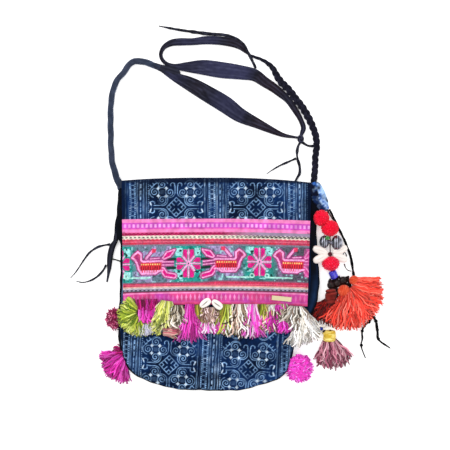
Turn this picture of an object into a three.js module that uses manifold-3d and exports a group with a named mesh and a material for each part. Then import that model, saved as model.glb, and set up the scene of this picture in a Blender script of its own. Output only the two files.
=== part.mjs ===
// Hill-tribe crossbody bag, laid on its back: a flat pouch of indigo batik cloth with a flap that
// folds over its mouth, an embroidered panel and a fringe of tassels on the flap, a braided and
// knotted cloth strap, and a charm of pompoms, shells, beads and tassels at the right side.
// Millimetres, +Z up. The back panel lies on z = 0 with its middle at the origin, and +Y runs from
// the bottom of the pouch to the fold of the flap.
import * as THREE from "three";
import { mergeVertices } from "three/addons/utils/BufferGeometryUtils.js";
import Module from "manifold-3d";

const wasm = await Module();
wasm.setup();

// Driving dimensions
const GAP = 0.3;             // clearance between neighbours that are sewn or lie together
const CLOTH = 1.2;           // pouch and flap cloth
const RIBBON = 1.0;          // ribbons and embroidered strips on the flap
const LAP_GAP = 0.5;         // slack between the front panel and what lies on it
const GUSSET_DEPTH = 10;     // side strip, from back panel to front panel
const PUFF = 7;              // how far the front panel swells above its seam
const MOUTH_Y = 122;         // top edge of the front panel and the side strip
const BOTTOM_Y = -128;       // lowest seam of the pouch
const HINGE_Y = 126;         // line where the back cloth turns up into the flap
const FLAP_EDGE_Y = -21;     // lower edge of the flap, at its middle
const FLAP_BOW = 3;          // how much lower the flap's corners hang than its middle
const FLAP_TOP_SPAN = { left: -118.6, right: 117.4 };
const FLAP_LOW_SPAN = { left: -116.5, right: 112.5 };
const LABEL = { x: 80, y: -13, length: 25, width: 6, thickness: 0.8, turn: -6 };
const FLAP_SHELL = { length: 15.5, width: 9.5, height: 6.5 };
const CHARM_SHELL = { length: 17, width: 7.5, height: 7 };
const SHELL_SLIT = { length: 0.8, width: 0.13, depth: 0.3 };
const TIE = 2.2;             // thin ties and the black cord of the charm
const STRING = 1.6;          // string that the charm is threaded on

// Levels of the layers, from the floor up
const GUSSET_LOW = CLOTH + GAP;
const GUSSET_HIGH = GUSSET_LOW + GUSSET_DEPTH;
const FRONT_EDGE = GUSSET_HIGH + GAP + CLOTH;
const CORD_LEVEL = GAP + TIE / 2;
const TASSEL_OVER_CORD = 2 * GAP + TIE;

// Seam outline of the pouch: edges of the panels, and how far the side strip bulges past them
const OUTLINE = [
  { y: MOUTH_Y, left: -117, right: 115, bulgeLeft: 5, bulgeRight: 6 },
  { y: 91, left: -118, right: 116, bulgeLeft: 6, bulgeRight: 6.5 },
  { y: 60, left: -118, right: 116, bulgeLeft: 5, bulgeRight: 7 },
  { y: 30, left: -118, right: 116.5, bulgeLeft: 3.5, bulgeRight: 9 },
  { y: 0, left: -118.5, right: 116, bulgeLeft: 3.5, bulgeRight: 11.5 },
  { y: -22, left: -119.5, right: 112, bulgeLeft: 3.5, bulgeRight: 12 },
  { y: -42, left: -120.5, right: 105, bulgeLeft: 3.5, bulgeRight: 7 },
  { y: -62, left: -120, right: 97, bulgeLeft: 4, bulgeRight: 3.5 },
  { y: -78, left: -118, right: 93.5, bulgeLeft: 3.5, bulgeRight: 3 },
  { y: -90, left: -114.5, right: 90.5, bulgeLeft: 3, bulgeRight: 3 },
  { y: -104, left: -106.5, right: 86.5, bulgeLeft: 3, bulgeRight: 3 },
  { y: -113, left: -94, right: 77.5, bulgeLeft: 2.5, bulgeRight: 2.5 },
  { y: -121, left: -73, right: 54, bulgeLeft: 2, bulgeRight: 2 },
  { y: -126, left: -53.5, right: 39.5, bulgeLeft: 2, bulgeRight: 2 },
  { y: BOTTOM_Y, left: -22, right: 28, bulgeLeft: 2, bulgeRight: 2 },
];
const PANEL_COLUMNS = 12;
const FOLD_ROWS = 6;
const FLAP_ROWS = 6;

// Strips sewn across the flap, from the top down
const STRIPS = [
  { name: "pink_ribbon_upper", top: 85, bottom: 69, rows: 1, colour: 0xf06cb8 },
  { name: "zigzag_upper", top: 68.7, bottom: 59.4, rows: 1, colour: 0xefe6c0 },
  { name: "bird_panel", top: 59.1, bottom: 2.6, rows: 3, colour: 0x2fa08a },
  { name: "zigzag_lower", top: 2.3, bottom: -5.2, rows: 1, colour: 0xd8d2d0 },
  { name: "pink_ribbon_lower", top: -5.5, bottom: -20.7, rows: 1, colour: 0xe85aa8 },
];

// Tassels: where the bound head starts, which way they hang (degrees from -Y towards +X), their
// length, half the angle that the skirt fans out to, and the size of head and skirt
const FRINGE = [
  { x: -111, y: -24.6, turn: 0, length: 37, fan: 20, head: 11, depth: 9, colour: 0xbccb42 },
  { x: -89, y: -23.4, turn: 0, length: 23, fan: 33, head: 11, depth: 9, colour: 0xd42bb5 },
  { x: -69.5, y: -22.6, turn: 0, length: 38, fan: 17, head: 10, depth: 9, colour: 0xbccb42 },
  { x: -51, y: -22, turn: 0, length: 31, fan: 19.5, head: 10, depth: 8, colour: 0xc4b898 },
  { x: -33.5, y: -21.7, turn: 0, length: 48, fan: 11, head: 9, depth: 9, colour: 0xe03cc0 },
  { x: -21, y: -26, turn: 0, length: 24, fan: 11, head: 6, depth: 6, colour: 0x96923c },
  { x: -6.5, y: -28.5, turn: 0, length: 26, fan: 26, head: 12, depth: 8, colour: 0xb08c80 },
  { x: 12.4, y: -24, turn: -1, length: 37, fan: 12.5, head: 7, depth: 8, colour: 0xbccb42 },
  { x: 29, y: -21.8, turn: 0, length: 40, fan: 15.5, head: 11, depth: 9, colour: 0xd2c8ac },
  { x: 45, y: -22, turn: 0, length: 44, fan: 9.8, head: 8, depth: 9, colour: 0xe03cc0 },
  { x: 57, y: -22.2, turn: 0, length: 27, fan: 12, head: 6, depth: 7, colour: 0xa4a03c },
  { x: 74, y: -22.7, turn: 0, length: 38, fan: 20.5, head: 13, depth: 9, colour: 0xb07890 },
  { x: 101.5, y: -24.4, turn: 0, length: 38, fan: 27, head: 15, depth: 9, colour: 0xe6e0d4 },
];
const FLOOR_TASSELS = [
  { name: "side_tassel", x: -124.4, y: -36.5, turn: -72, length: 17, fan: 38, head: 7, depth: 12,
    low: GAP, colour: 0xb0305c },
  { name: "corner_tassel_left", x: -120, y: -84.8, turn: -36, length: 33, fan: 34, head: 8,
    depth: 12, low: GAP, colour: 0xd42bb5 },
  { name: "corner_tassel_right", x: 95.8, y: -88.6, turn: 33, length: 34, fan: 38, head: 9,
    depth: 15, low: GAP, colour: 0xe03cc0 },
  { name: "rust_tassel", x: 142, y: -3.4, turn: 0, length: 50, fan: 20, head: 12, depth: 14,
    low: GAP, colour: 0x8c2a22 },
  { name: "orange_tassel", x: 167, y: 0.3, turn: 48, length: 45, fan: 55, head: 9, depth: 13,
    low: TASSEL_OVER_CORD, colour: 0xf0483a },
  { name: "mauve_tassel", x: 141, y: -68.8, turn: 10, length: 38, fan: 34, head: 10, depth: 14,
    low: GAP, colour: 0xa86a78 },
];
// Shape of every tassel from head to cut ends: share of the length, how far it has fanned out,
// swelling of the head, depth, and how deep the grooves between the locks are
const TASSEL_SHAPE = [
  { at: 0, open: 0, head: 0.6, depth: 0.45, groove: 0 },
  { at: 0.1, open: 0, head: 1, depth: 0.75, groove: 0 },
  { at: 0.22, open: 0.15, head: 0.9, depth: 0.7, groove: 0.05 },
  { at: 0.5, open: 0.85, head: 0.6, depth: 1, groove: 0.14 },
  { at: 0.84, open: 1, head: 0, depth: 0.9, groove: 0.2 },
  { at: 1, open: 0.92, head: 0, depth: 0.45, groove: 0.2 },
];
const TASSEL_LOCKS = 7;

// Strap and its tails: x, y, height of the middle, width and thickness of the gathered cloth
const BRAID_LEFT = [
  { x: -120.8, y: 122.9, z: 6.4, width: 6, height: 6 },
  { x: -122.8, y: 129, z: 4.4, width: 6.6, height: 6 },
  { x: -126, y: 136, z: 3.6, width: 7, height: 5.6 },
  { x: -130.6, y: 150, z: 3.1, width: 7, height: 5.6 },
  { x: -132.9, y: 164.4, z: 3.1, width: 7, height: 5.6 },
  { x: -133.9, y: 194, z: 3.1, width: 7, height: 5.6 },
  { x: -133.8, y: 228, z: 3.1, width: 7, height: 5.6 },
  { x: -131.5, y: 245, z: 3.1, width: 7, height: 5.6 },
  { x: -126.9, y: 258.1, z: 3.1, width: 7, height: 5.6 },
  { x: -117.9, y: 269.5, z: 3.1, width: 7, height: 5.6 },
  { x: -110.3, y: 279.4, z: 3.1, width: 7, height: 5.6 },
  { x: -103.5, y: 284, z: 3.1, width: 7.4, height: 5.6 },
  { x: -94.4, y: 283.1, z: 3.1, width: 7.6, height: 5.6 },
  { x: -83, y: 280, z: 3.1, width: 7.4, height: 5.6 },
  { x: -71.8, y: 275, z: 3, width: 6, height: 5 },
];
const BAND_LOWER = [
  { x: -70.8, y: 274.4, z: 2.6, width: 6, height: 4.4 },
  { x: -53, y: 264, z: 2.6, width: 11, height: 4.6 },
  { x: -33.8, y: 255, z: 2.8, width: 17, height: 5 },
  { x: -10, y: 240.6, z: 2.8, width: 19.5, height: 5 },
  { x: 10, y: 227.5, z: 2.8, width: 19, height: 5 },
  { x: 27.5, y: 215, z: 2.8, width: 15.5, height: 5 },
  { x: 50, y: 204.4, z: 2.6, width: 10.5, height: 4.6 },
  { x: 71.3, y: 195, z: 2.4, width: 6.5, height: 4 },
  { x: 83.8, y: 190.3, z: 2.2, width: 4.5, height: 3.4 },
  { x: 99.6, y: 187.9, z: 2.6, width: 3, height: 3 },
];
const BAND_UPPER = [
  { x: 106.2, y: 192.6, z: 2.8, width: 4, height: 3.4 },
  { x: 108.1, y: 199.5, z: 2.4, width: 5, height: 4 },
  { x: 105, y: 209.4, z: 2.4, width: 5, height: 4 },
  { x: 97.3, y: 222, z: 2.4, width: 6, height: 4 },
  { x: 88.3, y: 234.4, z: 2.5, width: 7, height: 4.2 },
  { x: 80.6, y: 242, z: 2.6, width: 9, height: 4.6 },
  { x: 70, y: 250.4, z: 2.8, width: 11.5, height: 5 },
  { x: 58.8, y: 258.4, z: 2.8, width: 14, height: 5 },
  { x: 47, y: 264.8, z: 2.8, width: 17, height: 5 },
  { x: 28.8, y: 268.8, z: 2.8, width: 19, height: 5 },
  { x: 6.3, y: 271.9, z: 2.8, width: 19.5, height: 5 },
  { x: -17.5, y: 275.3, z: 2.8, width: 17.5, height: 5 },
  { x: -38.8, y: 276.4, z: 2.6, width: 11, height: 4.6 },
  { x: -53, y: 277.2, z: 2.4, width: 6.5, height: 4 },
  { x: -63, y: 280.4, z: 2.2, width: 4, height: 3.4 },
  { x: -68.6, y: 285.6, z: 2, width: 3.4, height: 3.2 },
  { x: -70.6, y: 292.4, z: 2, width: 3.4, height: 3.2 },
  { x: -67.2, y: 300.8, z: 2.2, width: 4.6, height: 3.6 },
  { x: -58, y: 306, z: 2.4, width: 6.6, height: 4.2 },
  { x: -46.3, y: 307.5, z: 2.6, width: 8, height: 4.6 },
  { x: -31.3, y: 307.7, z: 2.6, width: 7.5, height: 4.6 },
  { x: -13.8, y: 309.6, z: 2.7, width: 10.5, height: 4.8 },
  { x: 3.8, y: 309.3, z: 2.7, width: 11, height: 4.8 },
  { x: 18.8, y: 306.4, z: 2.6, width: 9.6, height: 4.6 },
  { x: 28.8, y: 301.8, z: 2.3, width: 7, height: 4 },
  { x: 37.2, y: 294.4, z: 1.9, width: 3, height: 3 },
];
const BRAID_RIGHT = [
  { x: 41, y: 291.4, z: 1.8, width: 3, height: 3 },
  { x: 56.3, y: 285.9, z: 2, width: 3.4, height: 3.4 },
  { x: 64, y: 281, z: 2.4, width: 4.6, height: 4.2 },
  { x: 70.2, y: 275, z: 2.8, width: 6, height: 5 },
  { x: 76, y: 264.2, z: 3.1, width: 7.5, height: 5.6 },
  { x: 82, y: 256, z: 3.1, width: 8, height: 5.6 },
  { x: 89, y: 249.3, z: 3.1, width: 8, height: 5.6 },
  { x: 98.2, y: 237.6, z: 3.1, width: 8, height: 5.6 },
  { x: 107.4, y: 225.8, z: 3.1, width: 8, height: 5.6 },
  { x: 114.8, y: 213.1, z: 3.1, width: 8, height: 5.6 },
  { x: 120.5, y: 200.8, z: 3.1, width: 7.6, height: 5.6 },
  { x: 124.4, y: 189.3, z: 3.1, width: 7.4, height: 5.6 },
  { x: 125.4, y: 176.3, z: 3.1, width: 7, height: 5.6 },
  { x: 123.6, y: 162.5, z: 3.1, width: 7, height: 5.6 },
  { x: 123.4, y: 149.5, z: 3.1, width: 7, height: 5.6 },
  { x: 122.4, y: 138.8, z: 3.8, width: 7, height: 5.6 },
  { x: 121.6, y: 131, z: 5.6, width: 6.6, height: 5.8 },
  { x: 119.6, y: 122.9, z: 6.4, width: 6, height: 6 },
];
const SIDE_TAIL = [
  { x: -126.4, y: 68, z: 6.2, width: 5, height: 6 },
  { x: -126.5, y: 63, z: 5.8, width: 6.6, height: 7 },
  { x: -128, y: 57, z: 4, width: 6, height: 5 },
  { x: -131.6, y: 50.8, z: 2.6, width: 6.4, height: 4 },
  { x: -134.3, y: 41.1, z: 2.4, width: 6, height: 4 },
  { x: -135.4, y: 32.1, z: 2.2, width: 5.4, height: 3.6 },
  { x: -136, y: 22.8, z: 2, width: 4.4, height: 3.2 },
  { x: -137.1, y: 15.5, z: 1.8, width: 3.4, height: 2.8 },
  { x: -138.8, y: 5.4, z: 1.4, width: 2, height: 2 },
];
const STRAP_KNOT = { x: 105, y: 187.3, width: 10, height: 7.4 };

// Thin cords that lie on the floor: points of each route, with its thickness
const CORDS = [
  { name: "tie_top", thickness: TIE, steps: 14, colour: 0x2a2a38, route: [
    [48, 277.4, CORD_LEVEL], [46, 281.2, CORD_LEVEL], [43.2, 286.4, 4], [39.6, 293.2, 5.6],
    [36.6, 299.6, 4.4], [32, 306.8, CORD_LEVEL], [24, 312.6, CORD_LEVEL],
    [10, 317, CORD_LEVEL], [-6, 318.2, CORD_LEVEL], [-16, 319.2, CORD_LEVEL],
    [-48.8, 323.8, CORD_LEVEL], [-74.1, 328.6, CORD_LEVEL]] },
  { name: "tie_drop", thickness: TIE, steps: 11, colour: 0x2a2a38, route: [
    [121.6, 177, CORD_LEVEL], [115, 177.4, CORD_LEVEL], [110.6, 179.6, CORD_LEVEL],
    [106.2, 182, CORD_LEVEL], [102.8, 178.2, CORD_LEVEL], [100.8, 168.8, CORD_LEVEL],
    [101.4, 161.2, CORD_LEVEL], [104.1, 151.2, CORD_LEVEL], [104, 142.5, CORD_LEVEL],
    [100.6, 136.4, CORD_LEVEL], [98.8, 132.4, CORD_LEVEL]] },
  { name: "tie_branch", thickness: TIE, steps: 6, colour: 0x2a2a38, route: [
    [99.6, 161.4, CORD_LEVEL], [90, 157.2, CORD_LEVEL], [78.8, 152.2, CORD_LEVEL],
    [68.8, 146.4, CORD_LEVEL], [62.4, 142, CORD_LEVEL]] },
  { name: "side_tie_long", thickness: TIE, steps: 10, colour: 0x2a2a38, route: [
    [-134.8, 53, CORD_LEVEL], [-140.5, 52.3, CORD_LEVEL], [-150, 49.8, CORD_LEVEL],
    [-160, 43.4, CORD_LEVEL], [-167.3, 34.4, CORD_LEVEL], [-173.9, 24.4, CORD_LEVEL],
    [-179.5, 16.5, CORD_LEVEL], [-185.1, 10.4, CORD_LEVEL]] },
  { name: "side_tie_short", thickness: TIE, steps: 8, colour: 0x2a2a38, route: [
    [-139.8, 27.2, CORD_LEVEL], [-144.4, 19.4, CORD_LEVEL], [-151.6, 12.1, CORD_LEVEL],
    [-160.5, 7.1, CORD_LEVEL], [-170, 5.1, CORD_LEVEL], [-177.9, 6.8, CORD_LEVEL]] },
  { name: "charm_black_cord", thickness: TIE, steps: 24, colour: 0x141418, route: [
    [142.8, 95.2, CORD_LEVEL], [147.5, 85.6, CORD_LEVEL], [155, 70, CORD_LEVEL],
    [161.3, 56.9, CORD_LEVEL], [168.4, 37.5, CORD_LEVEL], [171.9, 16.5, CORD_LEVEL],
    [174, 4, CORD_LEVEL], [182, -14, CORD_LEVEL], [193, -32, CORD_LEVEL],
    [193.4, -42, CORD_LEVEL], [185.4, -50, CORD_LEVEL], [182.9, -57, CORD_LEVEL],
    [183.2, -66, CORD_LEVEL], [181.6, -74, CORD_LEVEL], [187, -90.4, CORD_LEVEL]] },
  { name: "charm_black_cord_end", thickness: TIE, steps: 7, colour: 0x141418, route: [
    [196, -37, CORD_LEVEL], [200.4, -44, CORD_LEVEL], [201.5, -51, CORD_LEVEL],
    [202.4, -58, CORD_LEVEL], [203.4, -66.5, CORD_LEVEL], [218.6, -78, CORD_LEVEL]] },
];

// String that the charm is threaded on
const CHARM_STRING = { thickness: STRING, steps: 18, route: [
  [138.8, 97.8, 5], [140, 84, 8.3], [140.8, 73, 8.3], [141.8, 62, 8.2], [141.9, 52, 7.2],
  [141.9, 41, 8], [141.9, 36, 8.2], [142.4, 27.5, 7.8], [143.4, 20, 6.6], [146.2, 14.8, 4.9],
  [148.9, 8.8, 4.7]] };

// Pompoms and beads of the charm: middle, radius, length along the string, roundness of the
// profile (1 for a ball, less for a barrel), hole and the way that the hole runs
const PROFILE_STEPS = 6;
const ROUND_SIDES = 10;
const POMPOM_TUFT = 0.07;     // how far the tufts of a pompom stand out, as a share of its radius
const POMPOMS = [
  { name: "pompom_1", x: 130.6, y: 86, z: 9.7, radius: 7.7, length: 16, round: 1, hole: 0,
    along: [0, -1, 0], colour: 0xf01830 },
  { name: "pompom_2", x: 140.8, y: 73, z: 8.5, radius: 7.6, length: 15.6, round: 1, hole: 1.7,
    along: [0.08, -1, 0], colour: 0xf01830 },
  { name: "pompom_3", x: 142.4, y: 27.5, z: 7.8, radius: 7, length: 15, round: 1, hole: 1.7,
    along: [0.1, -1, -0.1], colour: 0xf01830 },
];
const BEADS = [
  { name: "blue_bead", x: 146.2, y: 14.8, z: 4.9, radius: 4.3, length: 8.4, round: 0.4, hole: 1.6,
    along: [0.46, -1, -0.2], colour: 0x2a20c0 },
  { name: "orange_bead_1", x: 172.4, y: 9.8, z: 8.8, radius: 6, length: 12, round: 1, hole: 0,
    along: [0.3, -1, 0], colour: 0xe8541c },
  { name: "orange_bead_2", x: 158.8, y: -4.8, z: 7.4, radius: 7, length: 14, round: 1, hole: 0,
    along: [1, 0, 0], colour: 0xe8541c },
  { name: "yellow_bead", x: 141.3, y: -61, z: 7.3, radius: 7, length: 14.6, round: 0.4, hole: 0,
    along: [0, -1, 0], colour: 0xe8c020 },
];
const BELLS = [
  { name: "bell_left", x: 133, y: 56.5, radius: 5.5, shank: 2.2, side: 1 },
  { name: "bell_right", x: 150.6, y: 55.6, radius: 6, shank: 1.6, side: -1 },
];
const DARK_BEADS = { radius: 4.5, z: 4.75, places: [[143.6, 1.8], [151.4, 4.2], [158.8, 7.8]] };
const CHARM_SHELLS = [
  { name: "charm_shell_1", turn: 157.5, z: 9.8 },
  { name: "charm_shell_2", turn: 201, z: 9.8 },
  { name: "charm_shell_3", turn: 24.7, z: 6.2 },
  { name: "charm_shell_4", turn: -18.3, z: 6.2 },
];
const SHELL_STAR = { x: 141.9, y: 41, inner: 4.5, knot: 4.2, knotZ: 8 };
const FLAP_SHELLS = [
  { name: "flap_shell_left", x: -14.4, y: -19, turn: 35.5 },
  { name: "flap_shell_right", x: 0.4, y: -20.8, turn: -40 },
];
const CHARM_ROLL = [
  { x: 121.8, y: 128, z: 14.2, width: 7.4, height: 7.4 },
  { x: 126, y: 119.5, z: 13, width: 8.4, height: 8.4 },
  { x: 131.2, y: 110, z: 8, width: 8.8, height: 8.6 },
  { x: 138.4, y: 98.6, z: 4.9, width: 8.4, height: 8.4 },
];

const bag = new THREE.Group();
const UP = new THREE.Vector3(0, 0, 1);

/** Adds a named piece of one material to the bag. */
function addPiece(name, geometry, colour, roughness = 0.85, metalness = 0) {
  const material = new THREE.MeshStandardMaterial({ color: colour, roughness, metalness });
  const piece = new THREE.Mesh(geometry, material);
  piece.name = name;
  bag.add(piece);
  return piece;
}

/** Reads one column of a table at a place between its rows; `by` is the column that orders it. */
function readTable(rows, by, at, column) {
  const rising = rows[rows.length - 1][by] > rows[0][by];
  const next = rows.findIndex((row) => (rising ? row[by] >= at : row[by] <= at));
  if (next === 0) return rows[0][column];
  if (next < 0) return rows[rows.length - 1][column];
  const low = rows[next - 1];
  const high = rows[next];
  const share = (at - low[by]) / (high[by] - low[by]);
  return THREE.MathUtils.lerp(low[column], high[column], share);
}

/** Makes a geometry from a list of points and triangles. */
function fromTriangles(points, triangles) {
  const geometry = new THREE.BufferGeometry();
  geometry.setFromPoints(points);
  geometry.setIndex(triangles);
  geometry.computeVertexNormals();
  return geometry;
}

/** A cloth wall: a grid of middle points, thickened along the grid's normals, with a closed rim. */
function clothWall(grid, thickness) {
  const rows = grid.length;
  const columns = grid[0].length;
  const inside = (index, count) => THREE.MathUtils.clamp(index, 0, count - 1);
  const at = (r, c) => grid[inside(r, rows)][inside(c, columns)];
  const outer = [];
  const inner = [];
  for (let r = 0; r < rows; r += 1) {
    for (let c = 0; c < columns; c += 1) {
      const across = at(r, c + 1).clone().sub(at(r, c - 1));
      const along = at(r + 1, c).clone().sub(at(r - 1, c));
      const normal = across.cross(along).normalize();
      outer.push(at(r, c).clone().addScaledVector(normal, thickness / 2));
      inner.push(at(r, c).clone().addScaledVector(normal, -thickness / 2));
    }
  }
  const lift = outer.length;
  const triangles = [];
  for (let r = 0; r + 1 < rows; r += 1) {
    for (let c = 0; c + 1 < columns; c += 1) {
      const a = r * columns + c;
      const b = a + 1;
      const d = a + columns;
      const e = d + 1;
      triangles.push(a, b, e, a, e, d);
      triangles.push(lift + a, lift + e, lift + b, lift + a, lift + d, lift + e);
    }
  }
  const rim = [];
  for (let c = 0; c + 1 < columns; c += 1) rim.push(c);
  for (let r = 0; r + 1 < rows; r += 1) rim.push(r * columns + columns - 1);
  for (let c = columns - 1; c > 0; c -= 1) rim.push((rows - 1) * columns + c);
  for (let r = rows - 1; r > 0; r -= 1) rim.push(r * columns);
  rim.forEach((a, index) => {
    const b = rim[(index + 1) % rim.length];
    triangles.push(a, lift + b, b, a, lift + a, lift + b);
  });
  return fromTriangles([...outer, ...inner], triangles);
}

/** A skin over a row of closed rings, with a flat end on the first and the last ring. */
function loft(rings) {
  const sides = rings[0].length;
  const points = rings.flat();
  const triangles = [];
  for (let r = 0; r + 1 < rings.length; r += 1) {
    for (let s = 0; s < sides; s += 1) {
      const a = r * sides + s;
      const b = r * sides + ((s + 1) % sides);
      triangles.push(a, b, b + sides, a, b + sides, a + sides);
    }
  }
  const last = points.length - sides;
  for (let s = 1; s + 1 < sides; s += 1) {
    triangles.push(0, s + 1, s);
    triangles.push(last, last + s, last + s + 1);
  }
  return fromTriangles(points, triangles);
}

/** Height of the front panel's upper face: a swell that dies out at the side and bottom seams. */
function frontTop(x, y) {
  const left = readTable(OUTLINE, "y", y, "left");
  const right = readTable(OUTLINE, "y", y, "right");
  const across = THREE.MathUtils.clamp((2 * x - left - right) / (right - left), -1, 1);
  const up = THREE.MathUtils.clamp((y - BOTTOM_Y) / (MOUTH_Y - BOTTOM_Y), 0, 1);
  return FRONT_EDGE + PUFF * (1 - Math.abs(across) ** 3) * (1 - (1 - up) ** 3);
}

/** Seam points from the left of the mouth round the bottom to the right of the mouth. */
function seamPoints() {
  const left = OUTLINE.map((row) => ({ x: row.left, y: row.y, bulge: row.bulgeLeft }));
  const right = OUTLINE.map((row) => ({ x: row.right, y: row.y, bulge: row.bulgeRight }));
  return [...left, ...right.reverse()];
}

/** Back panel: the flat cloth that the bag lies on, up to the line where the flap begins. */
function backPanel() {
  const top = HINGE_Y - LAP_GAP;
  const outline = new THREE.Shape();
  outline.moveTo(OUTLINE[0].left, top);
  seamPoints().forEach((seam) => outline.lineTo(seam.x, seam.y));
  outline.lineTo(OUTLINE[0].right, top);
  return new THREE.ExtrudeGeometry(outline, { depth: CLOTH, bevelEnabled: false });
}

/** Side strip: a wall creased outwards along its middle, from one end of the mouth to the other. */
function gusset() {
  const seam = seamPoints();
  const half = GUSSET_DEPTH / 2;
  const middle = (GUSSET_LOW + GUSSET_HIGH) / 2;
  const rings = seam.map((point, index) => {
    const before = seam[Math.max(index - 1, 0)];
    const after = seam[Math.min(index + 1, seam.length - 1)];
    const out = new THREE.Vector3(after.y - before.y, before.x - after.x, 0).normalize();
    const wall = CLOTH * Math.hypot(half, point.bulge) / half;
    const place = (reach, z) => new THREE.Vector3(point.x, point.y, z).addScaledVector(out, reach);
    return [
      place(-wall, GUSSET_LOW), place(point.bulge - wall, middle), place(-wall, GUSSET_HIGH),
      place(0, GUSSET_HIGH), place(point.bulge, middle), place(0, GUSSET_LOW),
    ];
  });
  return loft(rings);
}

/** Front panel: the swelling cloth over the pouch, from the mouth to the bottom seam. */
function frontPanel() {
  const grid = OUTLINE.map((row) => {
    const cells = [];
    for (let c = 0; c <= PANEL_COLUMNS; c += 1) {
      const x = THREE.MathUtils.lerp(row.left, row.right, c / PANEL_COLUMNS);
      cells.push(new THREE.Vector3(x, row.y, frontTop(x, row.y) - CLOTH / 2));
    }
    return cells;
  }).reverse();
  return clothWall(grid, CLOTH);
}

/** A point of the flap's lie: share of its width, nominal y, and height above the front panel. */
function flapPoint(share, y, lift) {
  const down = THREE.MathUtils.clamp((HINGE_Y - y) / (HINGE_Y - FLAP_EDGE_Y), 0, 1);
  const left = THREE.MathUtils.lerp(FLAP_TOP_SPAN.left, FLAP_LOW_SPAN.left, down);
  const right = THREE.MathUtils.lerp(FLAP_TOP_SPAN.right, FLAP_LOW_SPAN.right, down);
  const x = THREE.MathUtils.lerp(left, right, share);
  const bowed = y - FLAP_BOW * down * (2 * share - 1) ** 2;
  return new THREE.Vector3(x, bowed, frontTop(x, bowed) + LAP_GAP + lift);
}

/** Flap: goes on from the back cloth, turns round the mouth in a fold and lies on the front. */
function flap() {
  const grid = [];
  for (let r = 0; r <= FLAP_ROWS; r += 1) {
    const y = THREE.MathUtils.lerp(FLAP_EDGE_Y, HINGE_Y, r / FLAP_ROWS);
    grid.push(flapRow((share) => flapPoint(share, y, CLOTH / 2)));
  }
  for (let r = 1; r <= FOLD_ROWS; r += 1) {
    const turn = Math.PI * (0.5 - r / FOLD_ROWS);
    grid.push(flapRow((share) => {
      const top = flapPoint(share, HINGE_Y, CLOTH / 2);
      const radius = (top.z - CLOTH / 2) / 2;
      const z = CLOTH / 2 + radius * (1 + Math.sin(turn));
      return new THREE.Vector3(top.x, HINGE_Y + radius * Math.cos(turn), z);
    }));
  }
  return clothWall(grid, CLOTH);
}

/** One row of points across the flap. */
function flapRow(pointAt) {
  const cells = [];
  for (let c = 0; c <= PANEL_COLUMNS; c += 1) cells.push(pointAt(c / PANEL_COLUMNS));
  return cells;
}

/** A strip of ribbon or embroidery that lies across the flap and follows its swell. */
function flapStrip(strip) {
  const lift = CLOTH + GAP + RIBBON / 2;
  const grid = [];
  for (let r = 0; r <= strip.rows; r += 1) {
    const y = THREE.MathUtils.lerp(strip.bottom, strip.top, r / strip.rows);
    grid.push(flapRow((share) => flapPoint(share, y, lift)));
  }
  return clothWall(grid, RIBBON);
}

/** Height of the upper face of the strips on the flap. */
function stripTop(x, y) {
  return frontTop(x, y) + LAP_GAP + CLOTH + GAP + RIBBON;
}

/** Label plate: a thin metal plate with cut corners, laid flat on the swell of the lower ribbon. */
function labelPlate() {
  const x = LABEL.length / 2;
  const y = LABEL.width / 2;
  const cut = LABEL.thickness;
  const outline = new THREE.Shape();
  outline.moveTo(cut - x, -y);
  outline.lineTo(x - cut, -y);
  outline.lineTo(x, cut - y);
  outline.lineTo(x, y - cut);
  outline.lineTo(x - cut, y);
  outline.lineTo(cut - x, y);
  outline.lineTo(-x, y - cut);
  outline.lineTo(-x, cut - y);
  return new THREE.ExtrudeGeometry(outline, { depth: LABEL.thickness, bevelEnabled: false });
}

/** Slope of the front panel at a place, as its upward normal. */
function frontNormal(x, y) {
  const reach = 2;
  const slopeX = (frontTop(x + reach, y) - frontTop(x - reach, y)) / (2 * reach);
  const slopeY = (frontTop(x, y + reach) - frontTop(x, y - reach)) / (2 * reach);
  return new THREE.Vector3(-slopeX, -slopeY, 1).normalize();
}

/** A tassel that lies on a surface: a bound head that fans out into locks, flat underneath. */
function tassel(row, surface) {
  const turn = THREE.MathUtils.degToRad(row.turn);
  const fan = THREE.MathUtils.degToRad(row.fan);
  const points = TASSEL_LOCKS * 2;
  const rings = TASSEL_SHAPE.map((shape) => {
    const ring = [];
    for (let p = 0; p < points; p += 1) {
      const round = (2 * Math.PI * p) / points;
      const size = p % 2 === 0 ? 1 : 1 - shape.groove;
      const side = Math.cos(round) * size;
      const heading = turn + side * fan * shape.open;
      const reach = row.length * shape.at;
      const headSide = side * shape.head * row.head * (1 - shape.open) / 2;
      const x = row.x + reach * Math.sin(heading) + headSide * Math.cos(turn);
      const y = row.y - reach * Math.cos(heading) + headSide * Math.sin(turn);
      const middle = row.depth * shape.depth / 2;
      const base = surface(row.x + reach * Math.sin(turn), row.y - reach * Math.cos(turn));
      ring.push(new THREE.Vector3(x, y, base + middle * (1 + Math.sin(round) * size)));
    }
    return ring;
  });
  return loft(rings);
}

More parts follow.
